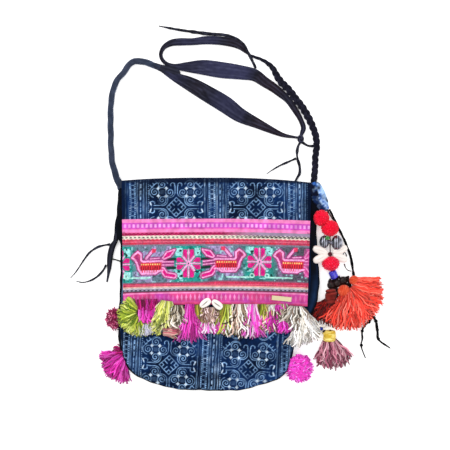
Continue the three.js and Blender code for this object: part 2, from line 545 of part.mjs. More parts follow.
/** A strand of gathered cloth: an oval section carried along a route whose width changes. */
function strand(rows, sides, stepsPerRow) {
  const middles = rows.map((row) => new THREE.Vector3(row.x, row.y, row.z));
  const path = new THREE.CatmullRomCurve3(middles);
  const steps = (rows.length - 1) * stepsPerRow;
  const numbered = rows.map((row, index) => ({ ...row, index }));
  const rings = [];
  for (let s = 0; s <= steps; s += 1) {
    const middle = path.getPoint(s / steps);
    const heading = path.getTangent(s / steps);
    const across = UP.clone().cross(heading).normalize();
    const rise = heading.clone().cross(across);
    const width = readTable(numbered, "index", s / stepsPerRow, "width") / 2;
    const height = readTable(numbered, "index", s / stepsPerRow, "height") / 2;
    const ring = [];
    for (let side = 0; side < sides; side += 1) {
      const round = (2 * Math.PI * (side + 0.5)) / sides;
      const point = middle.clone();
      point.addScaledVector(across, width * Math.cos(round));
      point.addScaledVector(rise, height * Math.sin(round));
      ring.push(point);
    }
    rings.push(ring);
  }
  return loft(rings);
}

/** A thin round cord along its route. */
function cord(row) {
  const section = new THREE.Shape();
  section.absarc(0, 0, row.thickness / 2, 0, 2 * Math.PI);
  const route = row.route.map((point) => new THREE.Vector3(...point));
  const extrudePath = new THREE.CatmullRomCurve3(route);
  return new THREE.ExtrudeGeometry(section, { steps: row.steps, extrudePath, curveSegments: 4 });
}

/** A bead turned about the string, solid or with a hole for the string to pass. */
function bead(row) {
  const profile = [];
  const half = row.length / 2;
  const start = Math.asin((row.hole / row.radius) ** (1 / row.round));
  for (let p = 0; p <= PROFILE_STEPS; p += 1) {
    const polar = THREE.MathUtils.lerp(start, Math.PI - start, p / PROFILE_STEPS);
    const across = row.radius * Math.sin(polar) ** row.round;
    const along = -half * Math.sign(Math.cos(polar)) * Math.abs(Math.cos(polar)) ** row.round;
    profile.push(new THREE.Vector2(p === PROFILE_STEPS && row.hole === 0 ? 0 : across, along));
  }
  if (row.hole > 0) profile.push(profile[0].clone());
  return new THREE.LatheGeometry(profile, ROUND_SIDES);
}

/** A pompom: a ball whose surface stands out in tufts and sinks between them. */
function pompom(row) {
  const geometry = bead(row);
  const places = geometry.attributes.position;
  const rings = places.count / (ROUND_SIDES + 1);
  for (let index = 0; index < places.count; index += 1) {
    const ring = index % rings;
    const column = Math.floor(index / rings);
    const inSkin = ring > 0 && ring < PROFILE_STEPS;
    const tuft = (ring + column) % 2 === 0 ? POMPOM_TUFT : -POMPOM_TUFT;
    const swell = inSkin ? 1 + tuft : 1;
    places.setXYZ(index, places.getX(index) * swell, places.getY(index), places.getZ(index) * swell);
  }
  return geometry;
}

/** A closed solid from a geometry, for joins and cuts. */
function solidOf(geometry) {
  const bare = geometry.clone();
  bare.deleteAttribute("normal");
  bare.deleteAttribute("uv");
  const merged = mergeVertices(bare, 1e-4);
  const vertProperties = Float32Array.from(merged.attributes.position.array);
  const triVerts = Uint32Array.from(merged.index.array);
  return new wasm.Manifold(new wasm.Mesh({ numProp: 3, vertProperties, triVerts }));
}

/** The geometry of a joined or cut solid. */
function geometryOf(solid) {
  const mesh = solid.getMesh();
  const places = new THREE.BufferAttribute(Float32Array.from(mesh.vertProperties), 3);
  const corners = new THREE.BufferAttribute(Uint32Array.from(mesh.triVerts), 1);
  const geometry = new THREE.BufferGeometry();
  geometry.setAttribute("position", places);
  geometry.setIndex(corners);
  geometry.computeVertexNormals();
  return geometry;
}

/** Cowrie: an egg-shaped shell that lies on its back, with the long slit of its mouth on top. */
function shell(size) {
  const body = new THREE.SphereGeometry(0.5, 12, 6);
  body.rotateX(Math.PI / 2);
  body.scale(size.length, size.width, size.height);
  const slit = new THREE.SphereGeometry(0.5, 6, 4);
  slit.rotateX(Math.PI / 2);
  const depth = 2 * SHELL_SLIT.depth * size.height;
  slit.scale(SHELL_SLIT.length * size.length, SHELL_SLIT.width * size.length, depth);
  slit.translate(0, 0, size.height / 2);
  return geometryOf(solidOf(body).subtract(solidOf(slit)));
}

/** String of the charm, with the knot that the four shells are tied into. */
function charmString() {
  const knot = new THREE.SphereGeometry(SHELL_STAR.knot, ROUND_SIDES, PROFILE_STEPS);
  knot.translate(SHELL_STAR.x, SHELL_STAR.y, SHELL_STAR.knotZ);
  return geometryOf(solidOf(cord(CHARM_STRING)).add(solidOf(knot)));
}

/** Bell: a small round bell with a shank by which it is tied to the string. */
function bell(row) {
  const profile = [];
  const shankRadius = row.radius / 4;
  const neck = Math.asin(shankRadius / row.radius);
  for (let p = 0; p <= PROFILE_STEPS; p += 1) {
    const polar = THREE.MathUtils.lerp(0, Math.PI - neck, p / PROFILE_STEPS);
    profile.push(new THREE.Vector2(row.radius * Math.sin(polar), -row.radius * Math.cos(polar)));
  }
  const top = row.radius + row.shank;
  profile.push(new THREE.Vector2(shankRadius, top), new THREE.Vector2(0, top));
  return new THREE.LatheGeometry(profile, ROUND_SIDES);
}

/** Knot of the strap: a round lump with a waist where the bands cross in it. */
function strapKnot() {
  const lump = new THREE.SphereGeometry(0.5, ROUND_SIDES, PROFILE_STEPS);
  lump.rotateX(Math.PI / 2);
  lump.scale(STRAP_KNOT.width, STRAP_KNOT.width, STRAP_KNOT.height);
  return lump;
}

/** Three dark beads that touch, as one string. */
function darkBeads() {
  const solids = DARK_BEADS.places.map(([x, y]) => {
    const ball = new THREE.SphereGeometry(DARK_BEADS.radius, ROUND_SIDES, PROFILE_STEPS);
    return solidOf(ball.translate(x, y, DARK_BEADS.z));
  });
  return geometryOf(solids.reduce((joined, next) => joined.add(next)));
}

// Pouch and flap
const INDIGO = 0x1f2f58;
addPiece("back_panel", backPanel(), INDIGO);
addPiece("gusset", gusset(), 0x121a24);
addPiece("front_panel", frontPanel(), INDIGO);
addPiece("flap", flap(), INDIGO);

// Strips, label and shells on the flap
STRIPS.forEach((strip) => addPiece(strip.name, flapStrip(strip), strip.colour, 0.75));

const label = addPiece("label_plate", labelPlate(), 0xe0d090, 0.35, 0.9);
label.position.set(LABEL.x, LABEL.y, stripTop(LABEL.x, LABEL.y) + GAP);
const labelTilt = new THREE.Quaternion().setFromUnitVectors(UP, frontNormal(LABEL.x, LABEL.y));
const labelTurn = THREE.MathUtils.degToRad(LABEL.turn);
label.quaternion.setFromAxisAngle(UP, labelTurn).premultiply(labelTilt);

FLAP_SHELLS.forEach((row) => {
  const piece = addPiece(row.name, shell(FLAP_SHELL), 0xf2efe8, 0.3);
  const height = stripTop(row.x, row.y) + GAP + FLAP_SHELL.height / 2;
  piece.position.set(row.x, row.y, height);
  piece.rotation.z = THREE.MathUtils.degToRad(row.turn);
});

// Tassels
const onFront = (x, y) => frontTop(x, y) + LAP_GAP;
FRINGE.forEach((row, index) => {
  const number = String(index + 1).padStart(2, "0");
  addPiece(`fringe_tassel_${number}`, tassel(row, onFront), row.colour, 0.95);
});
FLOOR_TASSELS.forEach((row) => addPiece(row.name, tassel(row, () => row.low), row.colour, 0.95));

// Strap, knot and ties
const STRAP_DARK = 0x2c2c3e;
addPiece("strap_braid_left", strand(BRAID_LEFT, 8, 1), STRAP_DARK);
addPiece("strap_band_lower", strand(BAND_LOWER, 10, 2), STRAP_DARK);
addPiece("strap_band_upper", strand(BAND_UPPER, 10, 1), STRAP_DARK);
addPiece("strap_braid_right", strand(BRAID_RIGHT, 8, 1), STRAP_DARK);
addPiece("side_tail", strand(SIDE_TAIL, 8, 1), STRAP_DARK);
const knot = addPiece("strap_knot", strapKnot(), STRAP_DARK);
knot.position.set(STRAP_KNOT.x, STRAP_KNOT.y, GAP + STRAP_KNOT.height / 2);
CORDS.forEach((row) => addPiece(row.name, cord(row), row.colour));

// Charm
addPiece("charm_roll", strand(CHARM_ROLL, 10, 2), 0x4a6aa0);
addPiece("charm_string", charmString(), 0x3a2a2a);
/** Adds a piece that is threaded on the string: its middle, and the way that its hole runs. */
function addThreaded(row, geometry, roughness) {
  const piece = addPiece(row.name, geometry, row.colour, roughness);
  const along = new THREE.Vector3(...row.along).normalize();
  piece.position.set(row.x, row.y, row.z);
  piece.quaternion.setFromUnitVectors(new THREE.Vector3(0, 1, 0), along);
}

POMPOMS.forEach((row) => addThreaded(row, pompom(row), 0.95));
BEADS.forEach((row) => addThreaded(row, bead(row), 0.5));
BELLS.forEach((row) => {
  const piece = addPiece(row.name, bell(row), 0x8c9098, 0.4, 0.9);
  piece.position.set(row.x, row.y, GAP + row.radius);
  piece.rotation.z = -row.side * Math.PI / 2;
});
addPiece("dark_beads", darkBeads(), 0x3a2420, 0.5);
CHARM_SHELLS.forEach((row) => {
  const turn = THREE.MathUtils.degToRad(row.turn);
  const reach = SHELL_STAR.inner + CHARM_SHELL.length / 2;
  const piece = addPiece(row.name, shell(CHARM_SHELL), 0xf2efe8, 0.3);
  const x = SHELL_STAR.x + reach * Math.cos(turn);
  const y = SHELL_STAR.y + reach * Math.sin(turn);
  piece.position.set(x, y, row.z);
  piece.rotation.z = turn;
});

export default bag;
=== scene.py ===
import bpy
import numpy as np
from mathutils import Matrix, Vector


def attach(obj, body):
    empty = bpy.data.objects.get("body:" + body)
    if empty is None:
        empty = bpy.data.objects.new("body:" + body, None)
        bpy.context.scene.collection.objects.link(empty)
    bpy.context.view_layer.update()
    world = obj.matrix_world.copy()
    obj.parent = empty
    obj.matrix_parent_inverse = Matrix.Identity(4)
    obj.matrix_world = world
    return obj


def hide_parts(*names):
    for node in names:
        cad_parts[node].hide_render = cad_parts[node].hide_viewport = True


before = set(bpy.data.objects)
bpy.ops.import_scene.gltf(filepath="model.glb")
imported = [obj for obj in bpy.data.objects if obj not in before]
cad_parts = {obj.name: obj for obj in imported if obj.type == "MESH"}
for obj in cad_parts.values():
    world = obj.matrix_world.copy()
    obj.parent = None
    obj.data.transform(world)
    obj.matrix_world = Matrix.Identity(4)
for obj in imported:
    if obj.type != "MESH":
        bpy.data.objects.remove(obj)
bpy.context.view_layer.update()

# Back panel
# The plain indigo cotton that the bag lies on, cut to the pouch's outline. Its edge is turned in and
# seamed to the side strip, and its top runs on into the flap.
MM = 0.001  # sizes here are in mm, the scene's in metres
SEAM = [
    # y, left edge, right edge, bulge of the side strip at the left and at the right
    (122, -117, 115, 6.5, 8),
    (105, -117.5, 115.4, 7.6, 10),
    (96, -117.9, 115.8, 8.2, 12.5),
    (88, -118, 116, 8.6, 9.4),
    (66, -118, 116, 10.5, 9.4),
    (55, -118, 116, 4, 9.6),
    (30, -118, 116.5, 3.5, 11),
    (0, -118.5, 116, 3.5, 12.5),
    (-22, -119.5, 112, 3.5, 12),
    (-42, -120.5, 105, 3.5, 7),
    (-62, -120, 97, 4, 3.5),
    (-78, -118, 93.5, 3.5, 3),
    (-90, -114.5, 90.5, 3, 3),
    (-104, -106.5, 86.5, 3, 3),
    (-113, -94, 77, 2.5, 2.5),
    (-121, -73, 55.5, 2, 2),
    (-126, -53.5, 38, 2, 2),
    (-128, -22, 26, 2, 2),
]
BOTTOM_Y, BACK_TOP = -128, 125.5
BACK_LEVEL = 0.05  # just clear of the floor
BACK_STEPS = 44  # points each way
BACK_STRIPE = 13.1947  # spacing of a faint woven stripe
BACK_COTTON = "#1d2a50"
DYE_PATCH = 6.25  # size of the patches in which dye takes unevenly
CLOTH_HEM = [(0.35, -0.3), (0.5, -0.7), (0.3, -1.1), (-5.0, -1.2)]  # steps outwards and up
ALL_EDGES = ("low", "high", "left", "right")


def linear(code):
    """Linear RGB of an sRGB hex colour: dark values over 12.92, and of the others the 2.4th power
    of (value + 0.055) / 1.055."""
    value = np.array([int(code[i:i + 2], 16) for i in (1, 3, 5)]) / 255
    return np.where(value <= 0.04045, value / 12.92, ((value + 0.055) / 1.055) ** 2.4)


def smooth_rows(table, count, measured=3):
    """Rows of a table read along a smooth curve: a centripetal Catmull-Rom spline through the rows,
    then `count` rows at equal steps of the length that its first `measured` columns run."""
    rows = np.array(table, float)
    knots = np.vstack([2 * rows[0] - rows[1], rows, 2 * rows[-1] - rows[-2]])
    gap = np.sqrt(np.linalg.norm(np.diff(knots[:, :measured], axis=0), axis=1))[:, None]
    slope = np.diff(knots, axis=0) / gap
    before, along, after = gap[:-2], gap[1:-1], gap[2:]
    leave = along * (slope[:-2] - (knots[2:-1] - knots[:-3]) / (before + along) + slope[1:-1])
    arrive = along * (slope[1:-1] - (knots[3:] - knots[1:-2]) / (along + after) + slope[2:])
    steps = 40  # between two rows, for measuring the length
    t = np.linspace(0, len(rows) - 1, steps * len(rows))
    span = np.minimum(t.astype(int), len(rows) - 2)
    f = (t - span)[:, None]
    fine = ((2 * f ** 3 - 3 * f ** 2 + 1) * rows[span] + (f ** 3 - 2 * f ** 2 + f) * leave[span]
            + (3 * f ** 2 - 2 * f ** 3) * rows[span + 1] + (f ** 3 - f ** 2) * arrive[span])
    run = np.linalg.norm(np.diff(fine[:, :measured], axis=0), axis=1).cumsum()
    run = np.concatenate([[0], run])
    even = np.linspace(0, run[-1], count)
    return np.column_stack([np.interp(even, run, column) for column in fine.T])


def grid_faces(rows, columns, ring=False):
    """Quads between neighbours of a grid of points, row by row; `ring` closes each row on itself."""
    number = np.arange(rows * columns).reshape(rows, columns)
    if ring:
        number = np.hstack([number, number[:, :1]])
    corners = (number[:-1, :-1], number[:-1, 1:], number[1:, 1:], number[1:, :-1])
    return np.stack(corners, -1).reshape(-1, 4)


def unit(vectors):
    """Vectors scaled to length 1."""
    return vectors / np.maximum(np.linalg.norm(vectors, axis=-1, keepdims=True), 1e-9)


def turned_edges(grid, hem, sides):
    """A sheet whose named edges (low and high rows, left and right columns) are turned under: lines
    are added that go from the edge outwards along the sheet and down along its normal."""
    for side in sides:
        normal = unit(np.cross(np.gradient(grid, axis=1), np.gradient(grid, axis=0)))
        axis = 0 if side in ("low", "high") else 1
        first = side in ("low", "left")
        edge, inner = (0, 1) if first else (-1, -2)
        line = np.take(grid, edge, axis)
        out = unit(line - np.take(grid, inner, axis))
        down = np.take(normal, edge, axis)
        added = np.stack([line + step * out + rise * down for step, rise in hem], axis)
        order = (np.flip(added, axis), grid) if first else (grid, added)
        grid = np.concatenate(order, axis)
    return grid


def turned_dye(dye, hem, sides):
    """Colours of a sheet with turned edges: the edge's own colour goes on round the turn."""
    rows, columns = ([len(hem) * (side in sides) for side in pair]
                     for pair in (("low", "high"), ("left", "right")))
    return np.pad(dye, (rows, columns, (0, 0)), mode="edge")


def add_piece(name, points, faces, dye, material, slot, *stands_for):
    """Adds a mesh piece: points in mm, arrays of faces by corner number, and a linear colour for
    each point. It rides on the bag's one body and stands for the named solids."""
    mesh = bpy.data.meshes.new(name)
    points = np.asarray(points, float).reshape(-1, 3)
    corners = np.concatenate([face.ravel() for face in faces])
    counts = np.concatenate([np.full(len(face), face.shape[1]) for face in faces])
    starts = np.concatenate([[0], counts.cumsum()[:-1]])
    mesh.vertices.add(len(points))
    mesh.vertices.foreach_set("co", (points * MM).astype(np.float32).ravel())
    mesh.loops.add(len(corners))
    mesh.loops.foreach_set("vertex_index", corners.astype(np.int32))
    mesh.polygons.add(len(counts))
    mesh.polygons.foreach_set("loop_start", starts.astype(np.int32))
    mesh.update(calc_edges=True)
    mesh.polygons.foreach_set("use_smooth", np.ones(len(counts), bool))
    colour = np.ones((len(points), 4), np.float32)
    colour[:, :3] = np.broadcast_to(np.asarray(dye, float).reshape(-1, 3), (len(points), 3))
    mesh.attributes.new("dye", "FLOAT_COLOR", "POINT").data.foreach_set("color", colour.ravel())
    mesh.materials.append(material)
    piece = bpy.data.objects.new(name, mesh)
    bpy.context.scene.collection.objects.link(piece)
    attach(piece, "root")
    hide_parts(*stands_for)
    return piece


def add_sheet(name, grid, dye, hem, sides, material, slot, *stands_for):
    """Adds a cloth piece: a grid of points with its colours, whose named edges are turned under."""
    points = turned_edges(grid, hem, sides)
    colours = turned_dye(dye, hem, sides)
    faces = [grid_faces(*points.shape[:2])]
    return add_piece(name, points, faces, colours, material, slot, *stands_for)


def add_node(material, kind, inputs=(), **settings):
    """Adds a node to a material: `settings` are its properties, and `inputs` gives a value or
    another node's output for each of its sockets, by name or number."""
    made = material.node_tree.nodes.new(kind)
    for key, value in settings.items():
        setattr(made, key, value)
    for socket, value in dict(inputs).items():
        if isinstance(value, bpy.types.NodeSocket):
            material.node_tree.links.new(value, made.inputs[socket])
        else:
            made.inputs[socket].default_value = value
    return made


def new_material(name):
    """An empty material with nodes."""
    material = bpy.data.materials.new(name)
    material.use_nodes = True
    material.node_tree.nodes.clear()
    return material


def uneven_dye(material, place, patch, detail, low):
    """The piece's dye, darkened down to `low` and lightened in patches of that size in mm. Returns
    the outputs of the colour and of the patches."""
    patchy = add_node(material, "ShaderNodeTexNoise",
                      {"Vector": place, "Scale": 1 / (patch * MM), "Detail": detail})
    shade = add_node(material, "ShaderNodeMapRange",
                     {"Value": patchy.outputs["Fac"], "From Min": 0.3, "From Max": 0.7,
                      "To Min": low, "To Max": 1.15})
    dye = add_node(material, "ShaderNodeAttribute", attribute_name="dye")
    colour = add_node(material, "ShaderNodeVectorMath",
                      {0: dye.outputs["Color"], "Scale": shade.outputs[0]}, operation="SCALE")
    return colour.outputs[0], patchy.outputs["Fac"]


def dyed_cloth(name, thread, relief, roughness=0.9, sheen=0.0, gloss=0.06, slant=0.0):
    """Woven cotton: matt, coloured by its dye, with raised threads both ways, turned by `slant` for
    stitches, and a dye that took unevenly. `thread` and `relief` are the weave's spacing and depth
    in mm; the real threads are about a third as wide, too fine to show."""
    material = new_material(name)
    place = add_node(material, "ShaderNodeTexCoord").outputs["Object"]
    turned = add_node(material, "ShaderNodeMapping", {"Vector": place, "Rotation": (0, 0, slant)})
    scale = 2 * np.pi / (20 * thread * MM)  # at a scale of 1 the node's bands are 2 pi / 20 apart
    warp, weft = (add_node(material, "ShaderNodeTexWave",
                           {"Vector": turned.outputs[0], "Scale": scale, "Distortion": 0.8},
                           bands_direction=way) for way in ("X", "Y"))
    weave = add_node(material, "ShaderNodeMath",
                     {0: warp.outputs["Fac"], 1: weft.outputs["Fac"]}, operation="ADD")
    bump = add_node(material, "ShaderNodeBump",
                    {"Height": weave.outputs[0], "Distance": relief * MM, "Strength": 0.8})
    colour, _ = uneven_dye(material, place, DYE_PATCH, detail=4.0, low=0.8)
    cloth = add_node(material, "ShaderNodeBsdfPrincipled",
                     {"Base Color": colour, "Roughness": roughness, "Sheen Weight": sheen,
                      "Specular IOR Level": gloss, "Normal": bump.outputs[0]})
    add_node(material, "ShaderNodeOutputMaterial", {"Surface": cloth.outputs[0]})
    return material


def edges_at(y):
    """Left and right edge of the pouch at a height, read from the smoothed outline."""
    return [np.interp(-np.asarray(y), -outline[:, 0], outline[:, column]) for column in (1, 2)]


outline = smooth_rows(SEAM, 600)
# Hand-woven cotton, plain dyed: matt, with slubby threads and uneven blue
indigo_cotton = dyed_cloth("Indigo cotton, hand woven", thread=1.5, relief=0.12)
back_y = np.linspace(BOTTOM_Y, BACK_TOP, BACK_STEPS)[:, None]
back_left, back_right = edges_at(back_y)
back_x = back_left + (back_right - back_left) * np.linspace(1, 0, BACK_STEPS)
back_grid = np.stack(np.broadcast_arrays(back_x, back_y, BACK_LEVEL), -1)
back_stripe = np.sin(2 * np.pi * back_x / BACK_STRIPE) > 0.8
back_dye = linear(BACK_COTTON) * (0.85 + 0.25 * back_stripe)[..., None]
back_panel = add_sheet("back_panel_cloth", back_grid, back_dye, CLOTH_HEM, ALL_EDGES,
                       indigo_cotton, "indigo_batik", "back_panel")

# Side strip
# A band of black cotton seamed between the back and the front panel, from one end of the mouth round
# the bottom to the other. It is creased outwards along its middle, where the lying bag folds it.
STRIP_LOW, STRIP_HIGH = 1.5, 11.5  # heights of its two seams
STRIP_WALL = 1.2
STRIP_RUN = 640.0  # its length along the seam
STRIP_COUNT, STRIP_STEPS = 420, 13  # points along it and across it
RUBBED = (420, 545, 30)  # start, end and fade of the stretch that is rubbed blue
STITCHED = (495, 585, 10)  # and of the one that shows a blue seam
STRIP_BLACK, STRIP_STREAK = "#080a10", "#142a4a"


def cloud(x, y, size, seed):
    """Soft random patches from 0 to 1: random values on a lattice of `size` mm, eased between."""
    cells = 61
    lattice = np.random.default_rng(seed).random((cells, cells))
    i, j = np.floor(x / size).astype(int), np.floor(y / size).astype(int)
    f, g = x / size - i, y / size - j
    f, g = f * f * (3 - 2 * f), g * g * (3 - 2 * g)
    near, far = (lattice[i % cells, k % cells] * (1 - f) + lattice[(i + 1) % cells, k % cells] * f
                 for k in (j, j + 1))
    return near * (1 - g) + far * g


def stretch(run, start, end, fade):
    """1 between two places along a run and 0 beyond them, fading inside each end."""
    return np.clip((run - start) / fade, 0, 1) * np.clip((end - run) / fade, 0, 1)


def hump(x, middle, width):
    """A smooth hump of height 1: e to the power of minus the squared distance over the width."""
    return np.exp(-((x - middle) / width) ** 2)


def over(dye, share, colour):
    """Colours with a hex colour laid over them, by its share at each place."""
    return dye + np.clip(share, 0, 1)[..., None] * (linear(colour) - dye)


def mixed(ground, *layers):
    """Colours laid over each other: each layer is a share at every place and a hex colour."""
    dye = np.broadcast_to(linear(ground), (*np.shape(layers[0][0]), 3))
    for share, colour in layers:
        dye = over(dye, share, colour)
    return dye


def closed_rings(rows, ring):
    """Faces of a closed skin over rings: quads round and along, and a face at each end."""
    last = np.arange(ring) + (rows - 1) * ring
    return [grid_faces(rows, ring, ring=True), np.stack([np.arange(ring)[::-1], last])]


def add_rings(name, rings, dye, material, slot, *stands_for):
    """Adds a piece whose closed skin goes over rings of points."""
    return add_piece(name, rings, closed_rings(*rings.shape[:2]), dye, material, slot, *stands_for)


def side_strip():
    """The strip's wall: rings along the seam. Outside, the reach past the seam is the bulge times
    one minus the 2.2nd power of the distance from the middle, with a small ripple; the inside runs
    a wall's thickness behind it."""
    down = [(left, y, bulge) for y, left, _, bulge, _ in SEAM]
    up = [(right, y, bulge) for y, _, right, _, bulge in reversed(SEAM)]
    rim = smooth_rows(down + up, STRIP_COUNT, measured=2)
    heading = unit(np.gradient(rim[:, :2], axis=0))
    out = np.stack([heading[:, 1], -heading[:, 0]], -1)
    run = np.linspace(0, STRIP_RUN, STRIP_COUNT)[:, None]
    place = np.linspace(1, -1, STRIP_STEPS)
    crease = 1 - np.abs(place) ** 2.2
    reach = rim[:, 2:] * crease + 0.5 * crease * np.sin(run / 3.7) * np.cos(run / 11)
    height = np.broadcast_to(np.interp(place, [-1, 1], [STRIP_LOW, STRIP_HIGH]), reach.shape)
    reach = np.hstack([reach, reach[:, ::-1] - STRIP_WALL])
    points = np.empty((*reach.shape, 3))
    points[..., :2] = rim[:, None, :2] + reach[..., None] * out[:, None]
    points[..., 2] = np.hstack([height, height[:, ::-1]])
    around = np.concatenate([place, place[::-1]])[None]
    streak = (stretch(run, *RUBBED) * hump(around, 0.72, 0.14)
              + 0.3 * stretch(run, *STITCHED) * hump(around, 0.5, 0.06)
              + 0.18 * cloud(run, 14 * around, 3.5, 5) ** 3)
    return points, mixed(STRIP_BLACK, (streak, STRIP_STREAK))


strip_points, strip_dye = side_strip()
# Plain-woven cotton, dyed black: matt, so dark that only its crease shows
black_cotton = dyed_cloth("Black cotton, plain woven", thread=1.4, relief=0.1)
strip = add_rings("side_strip_cloth", strip_points, strip_dye, black_cotton, "black_cotton", "gusset")

# Front panel
# The swelling front of the pouch, of hemp cotton drawn with wax and dyed in indigo: the pale lines
# are where the wax kept the dye off. Its edge is eased into the seam, which puckers it.
FRONT_EDGE, PUFF = 13.0, 7.0  # height of the front seam, and the swell above it
MOUTH_Y = 122.0
FRONT_ROWS = [(BOTTOM_Y, -119.6, 34), (-119, -34, 122), (-30, MOUTH_Y, 30)]  # from, to, how many
FRONT_COLUMNS = 310
PUCKER, PUCKER_PITCH = 0.55, 11.0  # height and spacing of the puckers along the seam
PUCKER_FADE = 7.0  # how far in from the seam they go
SEAM_ROUND, SEAM_MIDDLE = 118.0, 10.0  # radius and middle height by which they are spaced
SLACK = 0.8
LOOSE_BELOW, LOOSE_FADE = -30, 12  # under the flap the panel lies smooth
INDIGO, INDIGO_DEEP = "#0c2a58", "#041028"
RESIST, RESIST_BRIGHT = "#98c6f8", "#d4eafe"
FRONT_MOTIF, FRONT_TILT = (-60.0, -97.0), np.radians(-3.3)
REPEAT_X, REPEAT_Y = 98.9, 72.0  # one motif with its stripe band
MOTIF_HALF = (34.2, 35.5)  # a motif's reach east and north of its middle
PAIR_HALF = 86.0  # reach of two motifs side by side
HAND_SHAKE = 0.5  # how far the drawn lines waver
RESIST_LINE = 0.65  # width of a drawn wax line
CLUSTER = (17.4, 18.5)  # middle of the four snails in a quarter of the motif
SNAILS = [(1, 0, 0.3), (-1, 0, 0.8), (0, 1, 0.55), (0, -1, 0.05)]  # way east and north, turn
SNAIL_OUT, SNAIL_REACH, SNAIL_PITCH = 9.4, 5.7, 3.0
WEDGE_OUT, WEDGE_REACH = 4.8, 3.1  # bright wedges between the snails
HATCH_HALF, HATCH_PITCH = 3.2, 1.6  # hatched square between the snails
ARC_LOW, ARC_SIDE, ARC_OUTER = 7.1, 6.6, 6.7  # radii of the arcs round the snails
ARC_END = 4.4  # where an arc goes over into a straight run
RUN_LOW, RUN_SIDE = (2.0, 28.0), (1.5, 27.0)  # a run's distance from the motif's axis, and its end
CURL = (4.4, 27.6, 2.6)  # curl at the end of a run: its middle and radius
CURL_FROM = 26.2
HOOK = [(31.0, 1.4), (32.8, 6.0), (29.6, 7.4), (26.9, 5.8), (27.0, 4.0)]
HOOK_LINE, HOOK_STEM, STEM_FROM = 0.9, 1.4, 2.4
COMB_PITCH = 4.4
DIAMOND, DIAMOND_TOOTH = 8.4, 2.8  # the diamond's half width, and how far in its teeth go
CORNER_COMB, CORNER_TOOTH, CORNER_HALF = 55.0, 3.6, 5.0  # place, length of teeth, half width
BAND_HALF = 15.6  # half width of the stripe band
STRIPES = [
    # place across the band, width, strength, and how it is drawn
    (-14.0, 0.7, 0.6, "line"), (-8.3, 1.0, 1.0, "dots"), (-2.0, 1.1, 1.0, "dots"),
    (1.2, 0.7, 0.5, "line"), (5.0, 1.2, 0.9, "dashes"), (8.6, 0.7, 0.6, "line"),
    (12.2, 0.7, 0.6, "line"), (14.8, 0.8, 0.8, "dots"),
]
DOT_PITCH, DOT_HALF = 2.7, 0.8
DASH_PITCH, DASH_AT, DASH_HALF = 7.5, 3.7, 2.4
RUNG_PITCH, RUNG_AT, RUNG_HALF = 5.4, -5.2, 2.2  # short rungs between two dotted stripes


def front_height(x, y):
    """Upper face of the front panel: the seam's height plus the puff, times one minus the cube of
    the place across, times one minus the cube of the share that is left up to the mouth."""
    left, right = edges_at(y)
    across = np.clip((2 * x - left - right) / (right - left), -1, 1)
    up = np.clip((y - BOTTOM_Y) / (MOUTH_Y - BOTTOM_Y), 0, 1)
    return FRONT_EDGE + PUFF * (1 - np.abs(across) ** 3) * (1 - (1 - up) ** 3)


def drawn(distance, width):
    """How far a drawn line covers a point: fully within half its width, fading over half a mm."""
    return np.clip((width / 2 - np.abs(distance)) / 0.5 + 0.5, 0, 1)


def to_line(x, y, points):
    """Distance from each place to a bent line, the least of the distances to its straight parts."""
    best = np.full(np.shape(x), np.inf)
    for (ax, ay), (bx, by) in zip(points[:-1], points[1:]):
        dx, dy = bx - ax, by - ay
        share = np.clip(((x - ax) * dx + (y - ay) * dy) / (dx * dx + dy * dy), 0, 1)
        best = np.minimum(best, np.hypot(x - ax - share * dx, y - ay - share * dy))
    return best


def repeat(x, pitch):
    """Distance from the middle of the nearest repeat of that pitch."""
    return np.abs((x + pitch / 2) % pitch - pitch / 2)


def snail(x, y, turn):
    """Distance to a snail line, whose radius grows by one pitch with each turn, out to its reach."""
    radius = np.hypot(x, y)
    winding = SNAIL_PITCH * (np.arctan2(y, x) / (2 * np.pi) + turn)
    off = (radius - winding + SNAIL_PITCH / 2) % SNAIL_PITCH - SNAIL_PITCH / 2
    return np.where(radius < SNAIL_REACH, off, SNAIL_PITCH)


